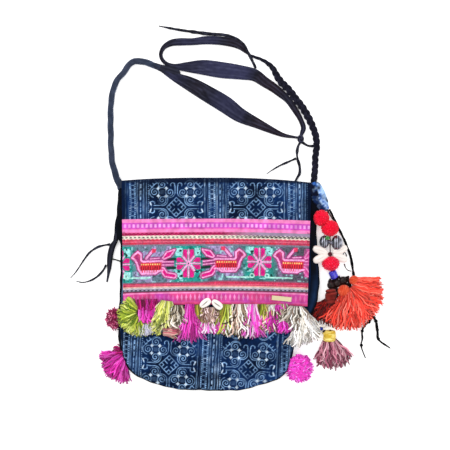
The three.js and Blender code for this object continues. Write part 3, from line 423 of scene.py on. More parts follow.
def batik(x, y, middle, tilt):
    """Shares of resist line and of bright spots, from 0 to 1. Each motif is folded into a quarter
    (a, b): four snails round a hatched square, wedges between them, arcs that frame them, a diamond
    with a comb along each side in the middle, hooks at the sides, combs at the corners, and a band of
    stripes between two motifs."""
    east = (x - middle[0]) * np.cos(tilt) + (y - middle[1]) * np.sin(tilt)
    north = (y - middle[1]) * np.cos(tilt) - (x - middle[0]) * np.sin(tilt)
    east = east + HAND_SHAKE * (cloud(x, y, 6.0, 16) - 0.5)
    north = north + HAND_SHAKE * (cloud(x, y, 6.0, 17) - 0.5)
    e = (east + REPEAT_X / 2) % REPEAT_X - REPEAT_X / 2
    n = (north + REPEAT_Y / 2) % REPEAT_Y - REPEAT_Y / 2
    a, b = np.abs(e), np.abs(n)
    da, db = a - CLUSTER[0], b - CLUSTER[1]

    def arc(dx, dy, radius):
        """Share of a drawn circle, by the distances from its middle."""
        return drawn(np.hypot(dx, dy) - radius, RESIST_LINE)

    lines = [drawn(snail(da - ea * SNAIL_OUT, db - eb * SNAIL_OUT, turn), RESIST_LINE)
             for ea, eb, turn in SNAILS]
    wedge = (np.abs(np.abs(da) - WEDGE_OUT) ** 0.7 + np.abs(np.abs(db) - WEDGE_OUT) ** 0.7) ** (1 / 0.7)
    spark = np.clip((WEDGE_REACH - wedge) / 0.8, 0, 1)
    square = np.clip(HATCH_HALF - np.maximum(np.abs(da), np.abs(db)), 0, 1)
    lines.append(0.2 * square * (0.5 + 0.5 * np.cos(2 * np.pi * db / HATCH_PITCH)))
    lines.append(arc(da, db + SNAIL_OUT, ARC_LOW) * (da < 0) * (db + SNAIL_OUT < ARC_END))
    lines.append(arc(da + SNAIL_OUT, db, ARC_SIDE) * (db < 0) * (da + SNAIL_OUT < ARC_END))
    lines.append(0.8 * arc(da - SNAIL_OUT, db, ARC_OUTER) * (da > SNAIL_OUT + 1))
    lines.append(0.8 * arc(da, db - SNAIL_OUT, ARC_OUTER) * (db > SNAIL_OUT + 1))
    lines.append(drawn(b - RUN_LOW[0], RESIST_LINE) * (da >= 0) * (a < RUN_LOW[1]))
    lines.append(drawn(a - RUN_SIDE[0], RESIST_LINE) * (db >= 0) * (b < RUN_SIDE[1]))
    lines.append(arc(a - CURL[0], b - CURL[1], CURL[2]) * (b > CURL_FROM))
    lines.append(drawn(to_line(a, b, HOOK), HOOK_LINE))
    spark = np.maximum(spark, drawn(to_line(a, b, HOOK[:2]), HOOK_STEM) * (b > STEM_FROM))
    along, out = (a - b + 0.5) / np.sqrt(2), (a + b - CORNER_COMB) / np.sqrt(2)
    teeth = drawn(repeat(along, COMB_PITCH), RESIST_LINE) * (out > 0) * (out < CORNER_TOOTH)
    lines.append(np.maximum(drawn(out, 0.8), teeth) * (np.abs(along) < CORNER_HALF))
    p, q = np.abs(e + n) / np.sqrt(2), np.abs(e - n) / np.sqrt(2)
    along, out = np.minimum(p, q), np.maximum(p, q)
    teeth = drawn(repeat(along, COMB_PITCH), RESIST_LINE) * (out > DIAMOND_TOOTH) * (out < DIAMOND)
    lines += [drawn(out - DIAMOND, RESIST_LINE), teeth]
    inside = (a < MOTIF_HALF[0]) * (b < MOTIF_HALF[1]) * (np.abs(east - REPEAT_X / 2) < PAIR_HALF)
    motif = np.maximum.reduce(lines) * inside
    w = east % REPEAT_X - REPEAT_X / 2
    ways = {"line": 1.0, "dots": repeat(north + DOT_PITCH / 2, DOT_PITCH) < DOT_HALF,
            "dashes": repeat(north - DASH_AT, DASH_PITCH) < DASH_HALF}
    stripes = [strength * drawn(w - place, width) * ways[way] for place, width, strength, way in STRIPES]
    stripes.append(0.6 * drawn(repeat(north, RUNG_PITCH), 0.8) * (np.abs(w - RUNG_AT) < RUNG_HALF))
    stripes.append(0.3 * np.clip(3.2 * cloud(2.2 * w, 0.1 * north, 2.0, 14) - 1.8, 0, 1))
    band = np.maximum.reduce(stripes) * (np.abs(w) < BAND_HALF)
    worn = 0.3 + 0.8 * cloud(x, y, 8.0, 3) + 0.7 * (cloud(x, y, 1.7, 4) - 0.5)
    glint = np.maximum(spark * inside, 0.5 * band * (cloud(x, 0.3 * y, 3.0, 15) > 0.75))
    return np.clip(np.maximum(motif, band) * worn, 0, 1), np.clip(glint * (worn + 0.2), 0, 1)


def batik_dye(x, y, middle, tilt):
    """Colour of the batik: uneven indigo, with the resist lines left pale and spots almost white."""
    depth = np.clip(1.4 * cloud(x, y, 24.0, 8) - 0.2 + 0.5 * (cloud(x, y, 2.2, 9) - 0.5), 0, 1)[..., None]
    thread = 0.75 + 0.5 * cloud(3 * x, 0.25 * y, 2.0, 10)[..., None]
    ground = (linear(INDIGO_DEEP) * (1 - depth) + linear(INDIGO) * depth) * thread
    pale, bright = batik(x, y, middle, tilt)
    return over(over(ground, 0.9 * pale, RESIST), 0.8 * bright, RESIST_BRIGHT)


# Cotton drawn with wax and dyed: matt, its threads plainest in the pale lines
batik_cloth = dyed_cloth("Batik cotton, wax resist", thread=1.5, relief=0.12)
front_y = np.concatenate([np.linspace(*rows) for rows in FRONT_ROWS])[:, None]
front_left, front_right = edges_at(front_y)
front_x = front_left + (front_right - front_left) * np.linspace(0, 1, FRONT_COLUMNS)
front_y = np.broadcast_to(front_y, front_x.shape)
to_side = np.minimum(front_x - front_left, front_right - front_x)
to_seam = np.minimum(0.7 * to_side, front_y - BOTTOM_Y)
round_seam = SEAM_ROUND * np.arctan2(front_x, SEAM_MIDDLE - front_y)
wave = np.sin(2 * np.pi * round_seam / PUCKER_PITCH + 3 * cloud(front_x, front_y, 20, 6))
pucker = PUCKER * np.exp(-to_seam / PUCKER_FADE) * wave
slack = SLACK * (cloud(front_x, front_y, 34, 2) - 0.5)
loose = np.clip((LOOSE_BELOW - front_y) / LOOSE_FADE, 0, 1) * np.clip(to_seam / 3, 0, 1)
front_z = front_height(front_x, front_y) + loose * (pucker + slack)
front_panel = add_sheet("front_panel_cloth", np.stack([front_x, front_y, front_z], -1),
                        batik_dye(front_x, front_y, FRONT_MOTIF, FRONT_TILT), CLOTH_HEM, ALL_EDGES,
                        batik_cloth, "indigo_batik", "front_panel")

# Flap
# The same batik, which comes up from the back in a round fold and lies over the front. Its sides and
# lower edge are turned under, and it carries the ribbons, the embroidery and the fringe.
HINGE_Y, FLAP_EDGE_Y = 126.0, -21.0  # where the fold begins, and the lower edge
FLAP_TOP_SPAN, FLAP_LOW_SPAN = (-118.6, 117.4), (-116.5, 112.5)
FLAP_BOW, FLAP_SINK = 3.0, 2.6  # droop of the lower corners and of the upper right one
LAP_GAP, CLOTH = 0.5, 1.2  # gap over the front panel, and the cloth's thickness
FLAP_ROWS = [(FLAP_EDGE_Y, 82, 26), (83, HINGE_Y, 62)]  # from, to, how many
FLAP_COLUMNS, FOLD_ROWS = 330, 41
FLAP_MOTIF = (-50.5, 99.7)
PLAIN_SIDE, FOLD_SHADE_FROM = 0.47, 129.0  # where the wax drawing ends at the sides, by share, and from where round the fold the cloth is painted dark as shade
FLAP_EDGES = ("low", "left", "right")


def flap_point(share, y, lift):
    """A point over the front panel: across by its share of the flap's width, down by y with the
    lower corners bowed and the upper right one sunk, and up by the panel's height, a gap, a soft
    ripple and the lift."""
    down = np.clip((HINGE_Y - y) / (HINGE_Y - FLAP_EDGE_Y), 0, 1)
    left, right = (top + (low - top) * down for top, low in zip(FLAP_TOP_SPAN, FLAP_LOW_SPAN))
    x = left + (right - left) * share
    y = y - FLAP_BOW * down * (2 * share - 1) ** 2
    y = y - FLAP_SINK * (1 - down) ** 1.3 * np.clip((share - 0.55) / 0.45, 0, 1) ** 1.5
    ripple = 0.7 * (cloud(x, y, 31, 12) - 0.5) + 0.35 * np.sin(x / 9 + 2 * cloud(x, y, 50, 13)) * down
    return np.stack([x, y, front_height(x, y) + LAP_GAP + lift + ripple], -1)


flap_share = np.linspace(0, 1, FLAP_COLUMNS)[None]
flap_y = np.concatenate([np.linspace(*rows) for rows in FLAP_ROWS])[:, None]
flap_lie = flap_point(flap_share, flap_y, CLOTH)
hinge_x, hinge_y, hinge_z = np.moveaxis(flap_lie[-1], -1, 0)
fold_radius = hinge_z / 2
fold_turn = np.linspace(0.5, -0.5, FOLD_ROWS + 1)[1:, None] * np.pi
fold_y = hinge_y + fold_radius * np.cos(fold_turn)
fold_z = fold_radius * (1 + np.sin(fold_turn)) + BACK_LEVEL
flap_grid = np.concatenate([flap_lie, np.stack(np.broadcast_arrays(hinge_x, fold_y, fold_z), -1)])
flap_run = np.concatenate([flap_lie[..., 1], hinge_y + fold_radius * (np.pi / 2 - fold_turn)])
plain_side = np.clip((np.abs(flap_share - 0.5) - PLAIN_SIDE) / 0.015, 0, 0.8)
# Painted shade: round the top of the fold, where it turns away from the light, the cloth is darkened to
# deep indigo
fold_painted_shade = 0.85 * np.clip((flap_run - FOLD_SHADE_FROM) / 2, 0, 1)
flap_dye = batik_dye(flap_grid[..., 0], flap_run, FLAP_MOTIF, 0.0)
flap_dye = over(flap_dye, np.maximum(plain_side, fold_painted_shade), INDIGO_DEEP)
flap = add_sheet("flap_cloth", flap_grid, flap_dye, CLOTH_HEM, FLAP_EDGES, batik_cloth, "indigo_batik",
                 "flap")

# Ribbons
# Two pink ribbons woven with a patterned middle, sewn across the flap above and below the embroidery
# and turned in at their ends.
RIBBON_LIFT = 2.5  # upper face above the gap over the front panel
RIBBON_COLUMNS = 390
RIBBON_HEM = [(0.25, -0.2), (0.35, -0.5), (0.2, -0.9), (-3.0, -1.0)]
UPPER_RIBBON, LOWER_RIBBON = (85, 69, 27), (-5.5, -20.7, 26)  # top, bottom, rows of points
UPPER_RIB, LOWER_RIB = 1.85, 1.7  # spacing of the woven ribs
RIBBON_PITCH = 5.45  # spacing of the woven squares and lozenges
# Rows of the weave, from and to below the ribbon's top: a pale edge, the middle, ribs, squares,
# dashes and a pale edge, and on the lower ribbon the middle, ribs and two edges
UPPER_ROWS = [(-0.5, 4.2), (4.2, 11.4), (4.3, 5.6), (6.0, 10.2), (10.6, 11.9), (12.4, 16.2)]
LOWER_ROWS = [(2.0, 11.0), (10.4, 11.6), (-0.2, 1.2), (13.0, 15.4)]
WOVEN_RELIEF = 0.25
PINK, PINK_PALE, FUCHSIA, VIOLET, ORCHID = "#ea5cae", "#f692c8", "#d44cbc", "#a83cbc", "#f4acec"
ROSE, ROSE_DEEP, ROSE_PALE, ROSE_RED = "#ea5caa", "#c83890", "#f496ce", "#dc4478"


def flap_strip(top, bottom, rows):
    """Grid of a strip across the flap, with each place's distance across and below the strip's top."""
    share = np.linspace(0, 1, RIBBON_COLUMNS)[None]
    y = np.broadcast_to(np.linspace(bottom, top, rows)[:, None], (rows, RIBBON_COLUMNS))
    grid = flap_point(share, y, RIBBON_LIFT)
    return grid, grid[..., 0], top - y


def row_of(down, start, end):
    """Share of a woven row between two distances below the strip's top."""
    return drawn(down - (start + end) / 2, end - start)


def ribs(x, pitch):
    """Ribs along a ribbon, from 0 between them to 1 on top."""
    return 0.5 + 0.5 * np.cos(2 * np.pi * x / pitch)


# Close-woven cotton ribbon: smoother than the batik, with a slight lustre
woven_ribbon = dyed_cloth("Woven pink ribbon", thread=1.3, relief=0.16, roughness=0.7, sheen=0.1,
                          gloss=0.15)
ribbon_grid, rx, rd = flap_strip(*UPPER_RIBBON)
rib = ribs(rx, UPPER_RIB)
block = np.clip(1.4 - repeat(rx, RIBBON_PITCH) / 1.6, 0, 1) * (0.5 + 0.6 * cloud(rx, 0 * rd, 14, 25))
high_edge, middle, rib_row, squares, dashes, low_edge = (row_of(rd, *row) for row in UPPER_ROWS)
ribbon_dye = mixed(PINK, (high_edge * (0.4 + 0.5 * rib), PINK_PALE), (0.85 * middle, FUCHSIA),
                   (0.8 * rib_row * rib, VIOLET), (0.55 * squares * (1 - block), VIOLET),
                   (squares * block, ORCHID),
                   (0.8 * dashes * (rib > 0.35) * cloud(rx, 0 * rd, 30, 26), VIOLET),
                   (low_edge * (0.4 + 0.5 * rib), PINK_PALE))
ribbon_dye *= (0.74 + 0.4 * cloud(rx, rd, 6, 21))[..., None]
ribbon_grid[..., 2] += WOVEN_RELIEF * squares * block
ribbon_upper = add_sheet("pink_ribbon_upper_weave", ribbon_grid, ribbon_dye, RIBBON_HEM, ALL_EDGES,
                         woven_ribbon, "pink_ribbon", "pink_ribbon_upper")

ribbon_grid, rx, rd = flap_strip(*LOWER_RIBBON)
rib = ribs(rx, LOWER_RIB)
lozenge = drawn(repeat(rx, RIBBON_PITCH) * 1.3 + np.abs(rd - 6.4) * 0.4, 3.6)
middle, rib_row, high_edge, low_edge = (row_of(rd, *row) for row in LOWER_ROWS)
ribbon_dye = mixed(ROSE, (0.7 * middle, ROSE_DEEP),
                   (np.clip(3 * cloud(rx, 0.4 * rd, 24, 23) - 1.9, 0, 0.6), ROSE_RED),
                   (lozenge * np.clip((52 - np.abs(rx + 5)) / 8, 0.4, 0.9), ROSE_PALE),
                   (0.6 * np.clip(2.2 * cloud(rx, rd, 9, 24) - 1.1, 0, 1), VIOLET),
                   (0.5 * rib_row * rib, VIOLET), (high_edge, PINK_PALE), (0.7 * low_edge, ROSE_RED))
worn = (0.8 + 0.36 * cloud(rx, rd, 5, 22)) * (1 - 0.18 * np.clip((rx - 10) / 20, 0, 1))
ribbon_dye *= worn[..., None]
ribbon_grid[..., 2] += WOVEN_RELIEF * lozenge
ribbon_lower = add_sheet("pink_ribbon_lower_weave", ribbon_grid, ribbon_dye, RIBBON_HEM, ALL_EDGES,
                         woven_ribbon, "pink_ribbon", "pink_ribbon_lower")

# Zigzag braids
# Two narrow borders of couched braid beside the embroidery: a cream one with dark points over a
# crimson zigzag, and a grey one with a black zigzag and lilac points under a peach edge.
UPPER_BRAID, LOWER_BRAID = (68.7, 59.4, 17), (2.3, -5.2, 15)  # top, bottom, rows of points
ZIGZAG_PITCH, ZIGZAG_SWING = 5.3, 0.8
BRAID_RELIEF = 0.35
CREAM, CHARCOAL, SOOT, ASH = "#e8e0d0", "#26262a", "#4c4448", "#9c8ca6"
CRIMSON, BRAID_ROSE, BRAID_RED = "#9a1448", "#c8487c", "#d8506c"
GREY, PALE_GREY, LILAC, PEACH = "#787080", "#ccc4c4", "#b0a6c4", "#eca49c"
DARK_PLUM, BRAID_WINE = "#3c2a38", "#a8406c"


def zigzag(x):
    """Height of a zigzag line along the braid, from minus to plus its swing."""
    return ZIGZAG_SWING * (4 * repeat(x, ZIGZAG_PITCH) / ZIGZAG_PITCH - 1)


def seeds(x, off, wide, high):
    """Share of a row of dark stitches: ovals of those half sizes, one for each zigzag."""
    return np.clip(2.2 - 2 * np.hypot(repeat(x, ZIGZAG_PITCH) / wide, off / high), 0, 1)


# Couched braid: threads laid aslant, which glint a little
braid_cloth = dyed_cloth("Couched cotton braid", thread=1.2, relief=0.2, roughness=0.8, gloss=0.1,
                         slant=0.7)
braid_grid, bx, bd = flap_strip(*UPPER_BRAID)
bent = zigzag(bx)
to_right = np.clip((bx - 5) / 50, 0, 1)
braid_dye = mixed(CREAM, (row_of(bd, -0.5, 3.8 + 0.6 * bent), BRAID_ROSE),
                  (drawn(bd - 2.0 + 0.9 * bent, 2.2), CRIMSON),
                  (row_of(bd, -0.5, 4.2 + 0.6 * bent) * to_right, ASH),
                  (drawn(bd - 4.8 + 0.8 * bent, 1.2) * to_right, SOOT),
                  (seeds(bx + 1.2, bd - 6.0, 1.7 + 0.8 * to_right, 0.95), CHARCOAL),
                  (row_of(bd, 8.0 + 0.6 * bent, 10), BRAID_RED))
braid_dye *= (0.8 + 0.3 * cloud(bx, bd, 3.0, 27))[..., None]
braid_grid[..., 2] += BRAID_RELIEF * drawn(bd - 6.0 + 0.5 * bent, 3.4)
braid_upper = add_sheet("zigzag_upper_braid", braid_grid, braid_dye, RIBBON_HEM, ALL_EDGES,
                        braid_cloth, "zigzag_braid", "zigzag_upper")

braid_grid, bx, bd = flap_strip(*LOWER_BRAID)
bent = zigzag(bx)
braid_dye = mixed(GREY, (row_of(bd, -0.5, 1.3), PEACH), (drawn(bd - 2.2 + 0.4 * bent, 1.7), PALE_GREY),
                  (0.7 * row_of(bd, 3.2, 5.2), LILAC),
                  (seeds(bx, bd - 4.2 + 0.3 * bent, 1.9, 0.8), CHARCOAL),
                  (row_of(bd, 5.4, 6.5), DARK_PLUM), (row_of(bd, 6.5, 8), BRAID_WINE))
braid_dye *= (0.8 + 0.3 * cloud(bx, bd, 3.0, 28))[..., None]
braid_grid[..., 2] += BRAID_RELIEF * drawn(bd - 4.4 + 0.5 * bent, 3.0)
braid_lower = add_sheet("zigzag_lower_braid", braid_grid, braid_dye, RIBBON_HEM, ALL_EDGES,
                        braid_cloth, "zigzag_braid", "zigzag_lower")

# Cross-stitched panel
# A cotton band worked all over in coloured thread: a teal ground with red borders, eight-point stars
# and between them birds that face each other. It is sewn on across the flap.
PANEL_TOP, PANEL_BOTTOM, PANEL_ROWS = 59.1, 2.6, 112
STITCH = 1.2  # one cross-stitch, coarser than the real 0.8 mm
STAR_X, STAR_STEP, STAR_Y = -35.25, 88.1, 29.1
BIRD_OFF, BIRD_Y = 44.35, 29.4  # a bird's middle, measured from the nearest star
PIECED_X = -19.3  # where the band is pieced
RISE_LEFT, RISE_RIGHT = 1.0, 3.3  # how far the figures sit above those heights
BORDER_RISE = 1.8  # how much wider the lower border is at the right
TEAL, TEAL_GREY, SEA_GREY, LAVENDER = "#1a9c92", "#6c8094", "#3a7478", "#b09cd0"
MINT, PALE_MINT, DEEP_GREEN, FADED_BROWN = "#a0e6e6", "#b8f4e6", "#06342e", "#4a3c46"
RED, RED_DARK, BIRD_RED, BIRD_ROSE = "#d8263e", "#8c0c2c", "#dc2c3c", "#d23c6c"
MAGENTA, PLUM, PINK_LINE, CORAL = "#dc1884", "#a41c74", "#fba6dc", "#e83c64"
YELLOW_STITCH, TAIL_PINK = "#fbd884", "#dc58a6"
STEEL, BORDER_RED, BORDER_PINK = "#76788a", "#c43c5c", "#ee7c98"
DULL_MAUVE, LOW_RED, LOW_PINK = "#7c5a70", "#cc3458", "#ee7090"
BIRD_BACK = [(-25.9, 7.8), (-23.3, 11.2), (-18.5, 14.7), (-14.7, 11.6), (-14.5, 4.3), (-12.5, 2.6),
             (12.1, 3.0)]
BIRD_BREAST = [(-25.9, 7.8), (-22, 4.7), (-19.4, 0), (-17.7, -6.9), (-13.8, -12.1), (3.4, -12.2),
               (7.8, -9.1), (12.1, -8.6)]
BIRD_BODY = [(-15.1, 0.9), (10.3, 0.9), (10.3, -8.6), (7.8, -8.6), (3.4, -10.8), (-12.9, -10.8),
             (-15.5, -6)]
TAIL_FEATHER = [(12.5, 6.9), (17.2, 13.8), (27.6, 17.2), (26.3, 14.7), (21.6, 8.6), (13.8, 5.2)]
TAIL_LOW = [(12.1, -7.8), (16.4, -13.8), (26.3, -15.5)]
BIRD_WING, BIRD_CREST = [(-2.6, 5.8), (8.4, 6.6)], [(-8.2, 6.4), (0, 16)]
CREST_TIP = [(-1.6, 13.4), (3.4, 13.4), (4.4, 18.2), (-0.6, 18.2)]
BIRD_NECK = [(-19.8, 8.6), (-17.2, -0.9)]
TAIL_SHADOWS = [[(18.1, 4.9), (27.6, 5.2)], [(18.1, -5.6), (27.6, -5.6)]]
FEATHER_PITCH = 2.85
GRASS, GRASS_RING = [(-34.5, 13.2), (-3.4, 13.2)], (-34.5, 15.2, 2.4)
PETAL_UP = [(1.5, 4.2), (1.5, 16.8), (5.6, 17.6), (6.9, 15.8), (6.9, 10.8)]
PETAL_SIDE = [(4.4, 1.6), (14.2, 1.6), (15.0, 5.8), (13.8, 7.4), (9.4, 7.4)]
STAR_SPOKE = [(1, 1), (7.2, 8.8)]
STAR_CORNER = (7.5, 16), (9.5, 19)  # pale blocks at a star's corners, across and up


def within(x, y, corners):
    """Share inside an outline: the even-odd rule, with an edge that fades over 0.6 mm."""
    closed = corners + corners[:1]
    inside = np.zeros(np.shape(x), bool)
    for (ax, ay), (bx, by) in zip(closed[:-1], closed[1:]):
        crosses = (ay > y) != (by > y)
        inside ^= crosses & (x < ax + (y - ay) * (bx - ax) / (by - ay or 1))
    edge = to_line(x, y, closed)
    return np.clip(0.5 + np.where(inside, edge, -edge) / 0.6, 0, 1)


def stitched_band(x, y):
    """Colours and relief of the panel. Along x the design is folded at every star, so that the birds
    face each other, and a star is folded into a quarter; strokes are bent lines of a given width.
    The figures rise and the ground fades to brown towards the right."""
    near = np.abs((x - STAR_X + STAR_STEP) % (2 * STAR_STEP) - STAR_STEP)
    right = np.clip((x - PIECED_X) / 20, 0, 1)
    raised = RISE_LEFT + (RISE_RIGHT - RISE_LEFT) * right
    a, b = np.minimum(near, STAR_STEP - near), np.abs(y - STAR_Y - raised)
    u, v = BIRD_OFF - near, y - BIRD_Y - raised
    patch, fleck = cloud(x, y, 6.0, 31), cloud(x, y, 2.4, 32)
    by_star = np.clip((24 - a) / 8, 0, 1)
    lower, faded = np.clip((16 - y) / 6, 0, 1), np.clip((x - 20) / 80, 0, 1)
    (a_from, a_to), (b_from, b_to) = STAR_CORNER
    corner = (a > a_from) * (a < a_to) * (b > b_from) * (b < b_to)
    grass = np.maximum(drawn(to_line(u, y, GRASS), 1.8),
                       drawn(np.hypot(u - GRASS_RING[0], y - GRASS_RING[1]) - GRASS_RING[2], 1.5))
    shadow = np.minimum(*(to_line(u, v, line) for line in TAIL_SHADOWS))
    ground = [(by_star, TEAL), (0.85 * (patch > 0.52) * (1 - by_star), LAVENDER),
              (0.6 * lower * (0.4 + 0.6 * right), SEA_GREY),
              (0.8 * faded * (1 - 0.5 * by_star), FADED_BROWN), (0.55 * (fleck > 0.74), DEEP_GREEN),
              (0.7 * (fleck < 0.2) * (patch > 0.4), MINT), (0.95 * corner * (patch > 0.25), MINT),
              (corner * (fleck > 0.7), DEEP_GREEN), (0.9 * grass, PALE_MINT),
              (drawn(shadow, 3.4), DEEP_GREEN)]
    strokes = np.minimum.reduce([
        to_line(u, v, BIRD_BACK), to_line(u, v, BIRD_BREAST), to_line(u, v, BIRD_WING) + 0.4,
        to_line(u, v, BIRD_CREST) - 0.3, to_line(u, v, TAIL_FEATHER + TAIL_FEATHER[:1]) + 0.3,
        np.where(u > 11, np.abs(to_line(u, v, TAIL_LOW) - 2.6), 9) + 0.3,
        np.where((u > 11.5) & (u < 26.5), np.abs(np.abs(v) - 1.9), 9) + 0.5])
    line, rim = drawn(strokes, 2.2), drawn(strokes, 4.8)
    petals = np.maximum(within(a, b, PETAL_UP), within(a, b, PETAL_SIDE))
    stem = np.maximum(drawn(a, 1.5) * (b < 18), drawn(b, 1.5) * (a < 15.5))
    rays = np.maximum(stem, drawn(to_line(a, b, STAR_SPOKE), 2.2))
    star = [(0.9 * rim, PLUM), (petals, MAGENTA), (rays, PINK_LINE),
            (drawn(np.hypot(a, b), 2.0), DEEP_GREEN)]
    body, inner = within(u, v, BIRD_BODY), within(u, v, BIRD_BACK + BIRD_BREAST[:0:-1])
    plume = repeat(u, FEATHER_PITCH)
    tail_end = np.clip((x - 108) / 2, 0, 0.75) * (b < 18) * (0.45 + 0.55 * (fleck > 0.4))
    bird = [(0.8 * inner, BIRD_ROSE), (0.7 * drawn(to_line(u, v, BIRD_NECK), 4.6), PLUM),
            (body, BIRD_RED), (body * (v < -3) * (plume < 0.6), RED_DARK),
            (body * drawn(v + 0.9, 1.6) * (plume < 0.75), YELLOW_STITCH),
            (body * (v < -8.2) * (plume < 1.0), PINK_LINE), (within(u, v, TAIL_FEATHER), MAGENTA),
            (drawn(to_line(u, v, TAIL_LOW), 5.0), MAGENTA), (line, PINK_LINE),
            (within(u, v, CREST_TIP), CORAL), (tail_end, TAIL_PINK)]
    edge = BORDER_RISE * right
    border = [(0.6 * drawn(x - PIECED_X, 1.2), DEEP_GREEN), (row_of(y, 51.8, 54.2), STEEL),
              (row_of(y, 54, 60), BORDER_RED), (0.6 * row_of(y, 54, 60) * (patch > 0.6), RED),
              (0.6 * row_of(y, 56.6, 58.0), BORDER_PINK), (row_of(y, 5.4, 7.4 + edge), DULL_MAUVE),
              (row_of(y, 1, 5.8 + edge), LOW_RED), (0.6 * row_of(y, 3.4, 4.6), LOW_PINK)]
    relief = 0.45 * np.maximum(line, rays) + 0.25 * np.maximum.reduce([petals, body, rim])
    return mixed(TEAL_GREY, *ground, *star, *bird, *border), relief


def per_stitch(x, y, seed):
    """A random value from 0 to 1 for each stitch."""
    cells = 97
    lattice = np.random.default_rng(seed).random((cells, cells))
    return lattice[np.floor(x / STITCH).astype(int) % cells, np.floor(y / STITCH).astype(int) % cells]


# Stranded cotton worked in crosses: each stitch stands up and shines softly
stitch_thread = dyed_cloth("Cross-stitch cotton thread", thread=STITCH, relief=0.3, roughness=0.65,
                           sheen=0.05, gloss=0.15, slant=np.pi / 4)
panel_grid, panel_x, panel_down = flap_strip(PANEL_TOP, PANEL_BOTTOM, PANEL_ROWS)
panel_dye, panel_relief = stitched_band(panel_x, PANEL_TOP - panel_down)
panel_dye = panel_dye * (0.72 + 0.5 * per_stitch(panel_x, panel_down, 33))[..., None]
panel_grid[..., 2] += panel_relief
bird_panel = add_sheet("bird_panel_embroidery", panel_grid, panel_dye, RIBBON_HEM, ALL_EDGES,
                       stitch_thread, "cross_stitch", "bird_panel")

# Label plate
# A bare plate of pale brass, sewn to the lower ribbon near its right end, with its edge rounded over.
LABEL_X, LABEL_Y, LABEL_TURN = 80.0, -13.0, np.radians(-6)
LABEL_LONG, LABEL_WIDE = 25.0, 6.0
LABEL_BOW = 0.6  # how far the flap's bow moves it down
LABEL_LIFT = 1.0  # upper face above the ribbon's
LABEL_EDGE = [(0.1, -0.06), (0.14, -0.2), (0.06, -0.4), (0.0, -0.75), (-1.0, -0.8)]
LABEL_ROUNDING = 0.6  # of its length and width, taken by the rounded edge
BRASS = "#dccfa6"


def polished(name, roughness, metallic=0.0, coat=0.0, grain=0.6, relief=0.05, gloss=0.5):
    """A hard smooth surface coloured by its dye: metal, glass, shell or wood by the settings, with
    a faint uneven grain of that size in mm that breaks up the highlight."""
    material = new_material(name)
    place = add_node(material, "ShaderNodeTexCoord").outputs["Object"]
    uneven = add_node(material, "ShaderNodeTexNoise",
                      {"Vector": place, "Scale": 1 / (grain * MM), "Detail": 3.0})
    bump = add_node(material, "ShaderNodeBump",
                    {"Height": uneven.outputs["Fac"], "Distance": relief * MM, "Strength": 0.6})
    dye = add_node(material, "ShaderNodeAttribute", attribute_name="dye")
    body = add_node(material, "ShaderNodeBsdfPrincipled",
                    {"Base Color": dye.outputs["Color"], "Roughness": roughness, "Metallic": metallic,
                     "Coat Weight": coat, "Coat Roughness": 0.1, "Specular IOR Level": gloss,
                     "Normal": bump.outputs[0]})
    add_node(material, "ShaderNodeOutputMaterial", {"Surface": body.outputs[0]})
    return material


label_share = (LABEL_X - FLAP_LOW_SPAN[0]) / (FLAP_LOW_SPAN[1] - FLAP_LOW_SPAN[0])
label_middle = flap_point(np.array(label_share), np.array(LABEL_Y + LABEL_BOW),
                          RIBBON_LIFT + LABEL_LIFT)
label_slopes = [(front_height(LABEL_X + dx, LABEL_Y + dy) - front_height(LABEL_X - dx, LABEL_Y - dy)) / 4
                for dx, dy in ((2, 0), (0, 2))]
label_up = unit(np.array([-label_slopes[0], -label_slopes[1], 1.0]))
label_along = np.array([np.cos(LABEL_TURN), np.sin(LABEL_TURN), 0.0])
label_along = unit(label_along - label_up * (label_along @ label_up))
label_u, label_v = np.meshgrid(np.linspace(-0.5, 0.5, 60) * (LABEL_LONG - LABEL_ROUNDING),
                               np.linspace(-0.5, 0.5, 18) * (LABEL_WIDE - LABEL_ROUNDING))
label_grid = (label_middle + label_u[..., None] * label_along
              + label_v[..., None] * np.cross(label_up, label_along))
label_dye = linear(BRASS) * (0.9 + 0.15 * cloud(label_u * 0.3, label_v * 3, 1.0, 41))[..., None]
# Rolled brass, brushed: pale metal with a broad, soft highlight
brass = polished("Brushed pale brass", roughness=0.38, metallic=0.9, grain=0.4, relief=0.03)
add_sheet("label_plate_brass", label_grid, label_dye, LABEL_EDGE, ALL_EDGES, brass, "brass_plate",
          "label_plate")

# Cowrie shells on the flap
# Two small cowries sewn on where the ribbon ends, with the toothed slit of the shell upwards.
# The slit's colour is painted shade, dark in the shell's narrow opening
SHELL_IVORY, SHELL_SHADE, SLIT_SHADE = "#f6f2ea", "#c9bcae", "#4a352c"
FLAP_SHELL = (15.5, 9.5, 6.5)  # length, width, height
TOOTH_PITCH = 1.35
SEWN_GAP = 0.3  # between a shell and the ribbon
FLAP_SHELLS = [
    # name, x, y, turn in degrees
    ("flap_shell_left", -14.4, -19.0, 35.5), ("flap_shell_right", 0.4, -20.8, -40.0),
]


def ring_angles(count):
    """Angles round a ring, at equal steps."""
    return 2 * np.pi * np.arange(count)[None] / count


def ball_angles(rows, ring, pole):
    """Angles from pole to pole and round the axis, for rings over a ball. `pole` is the small angle
    that is left at each end."""
    return np.linspace(pole, np.pi - pole, rows)[:, None], ring_angles(ring)


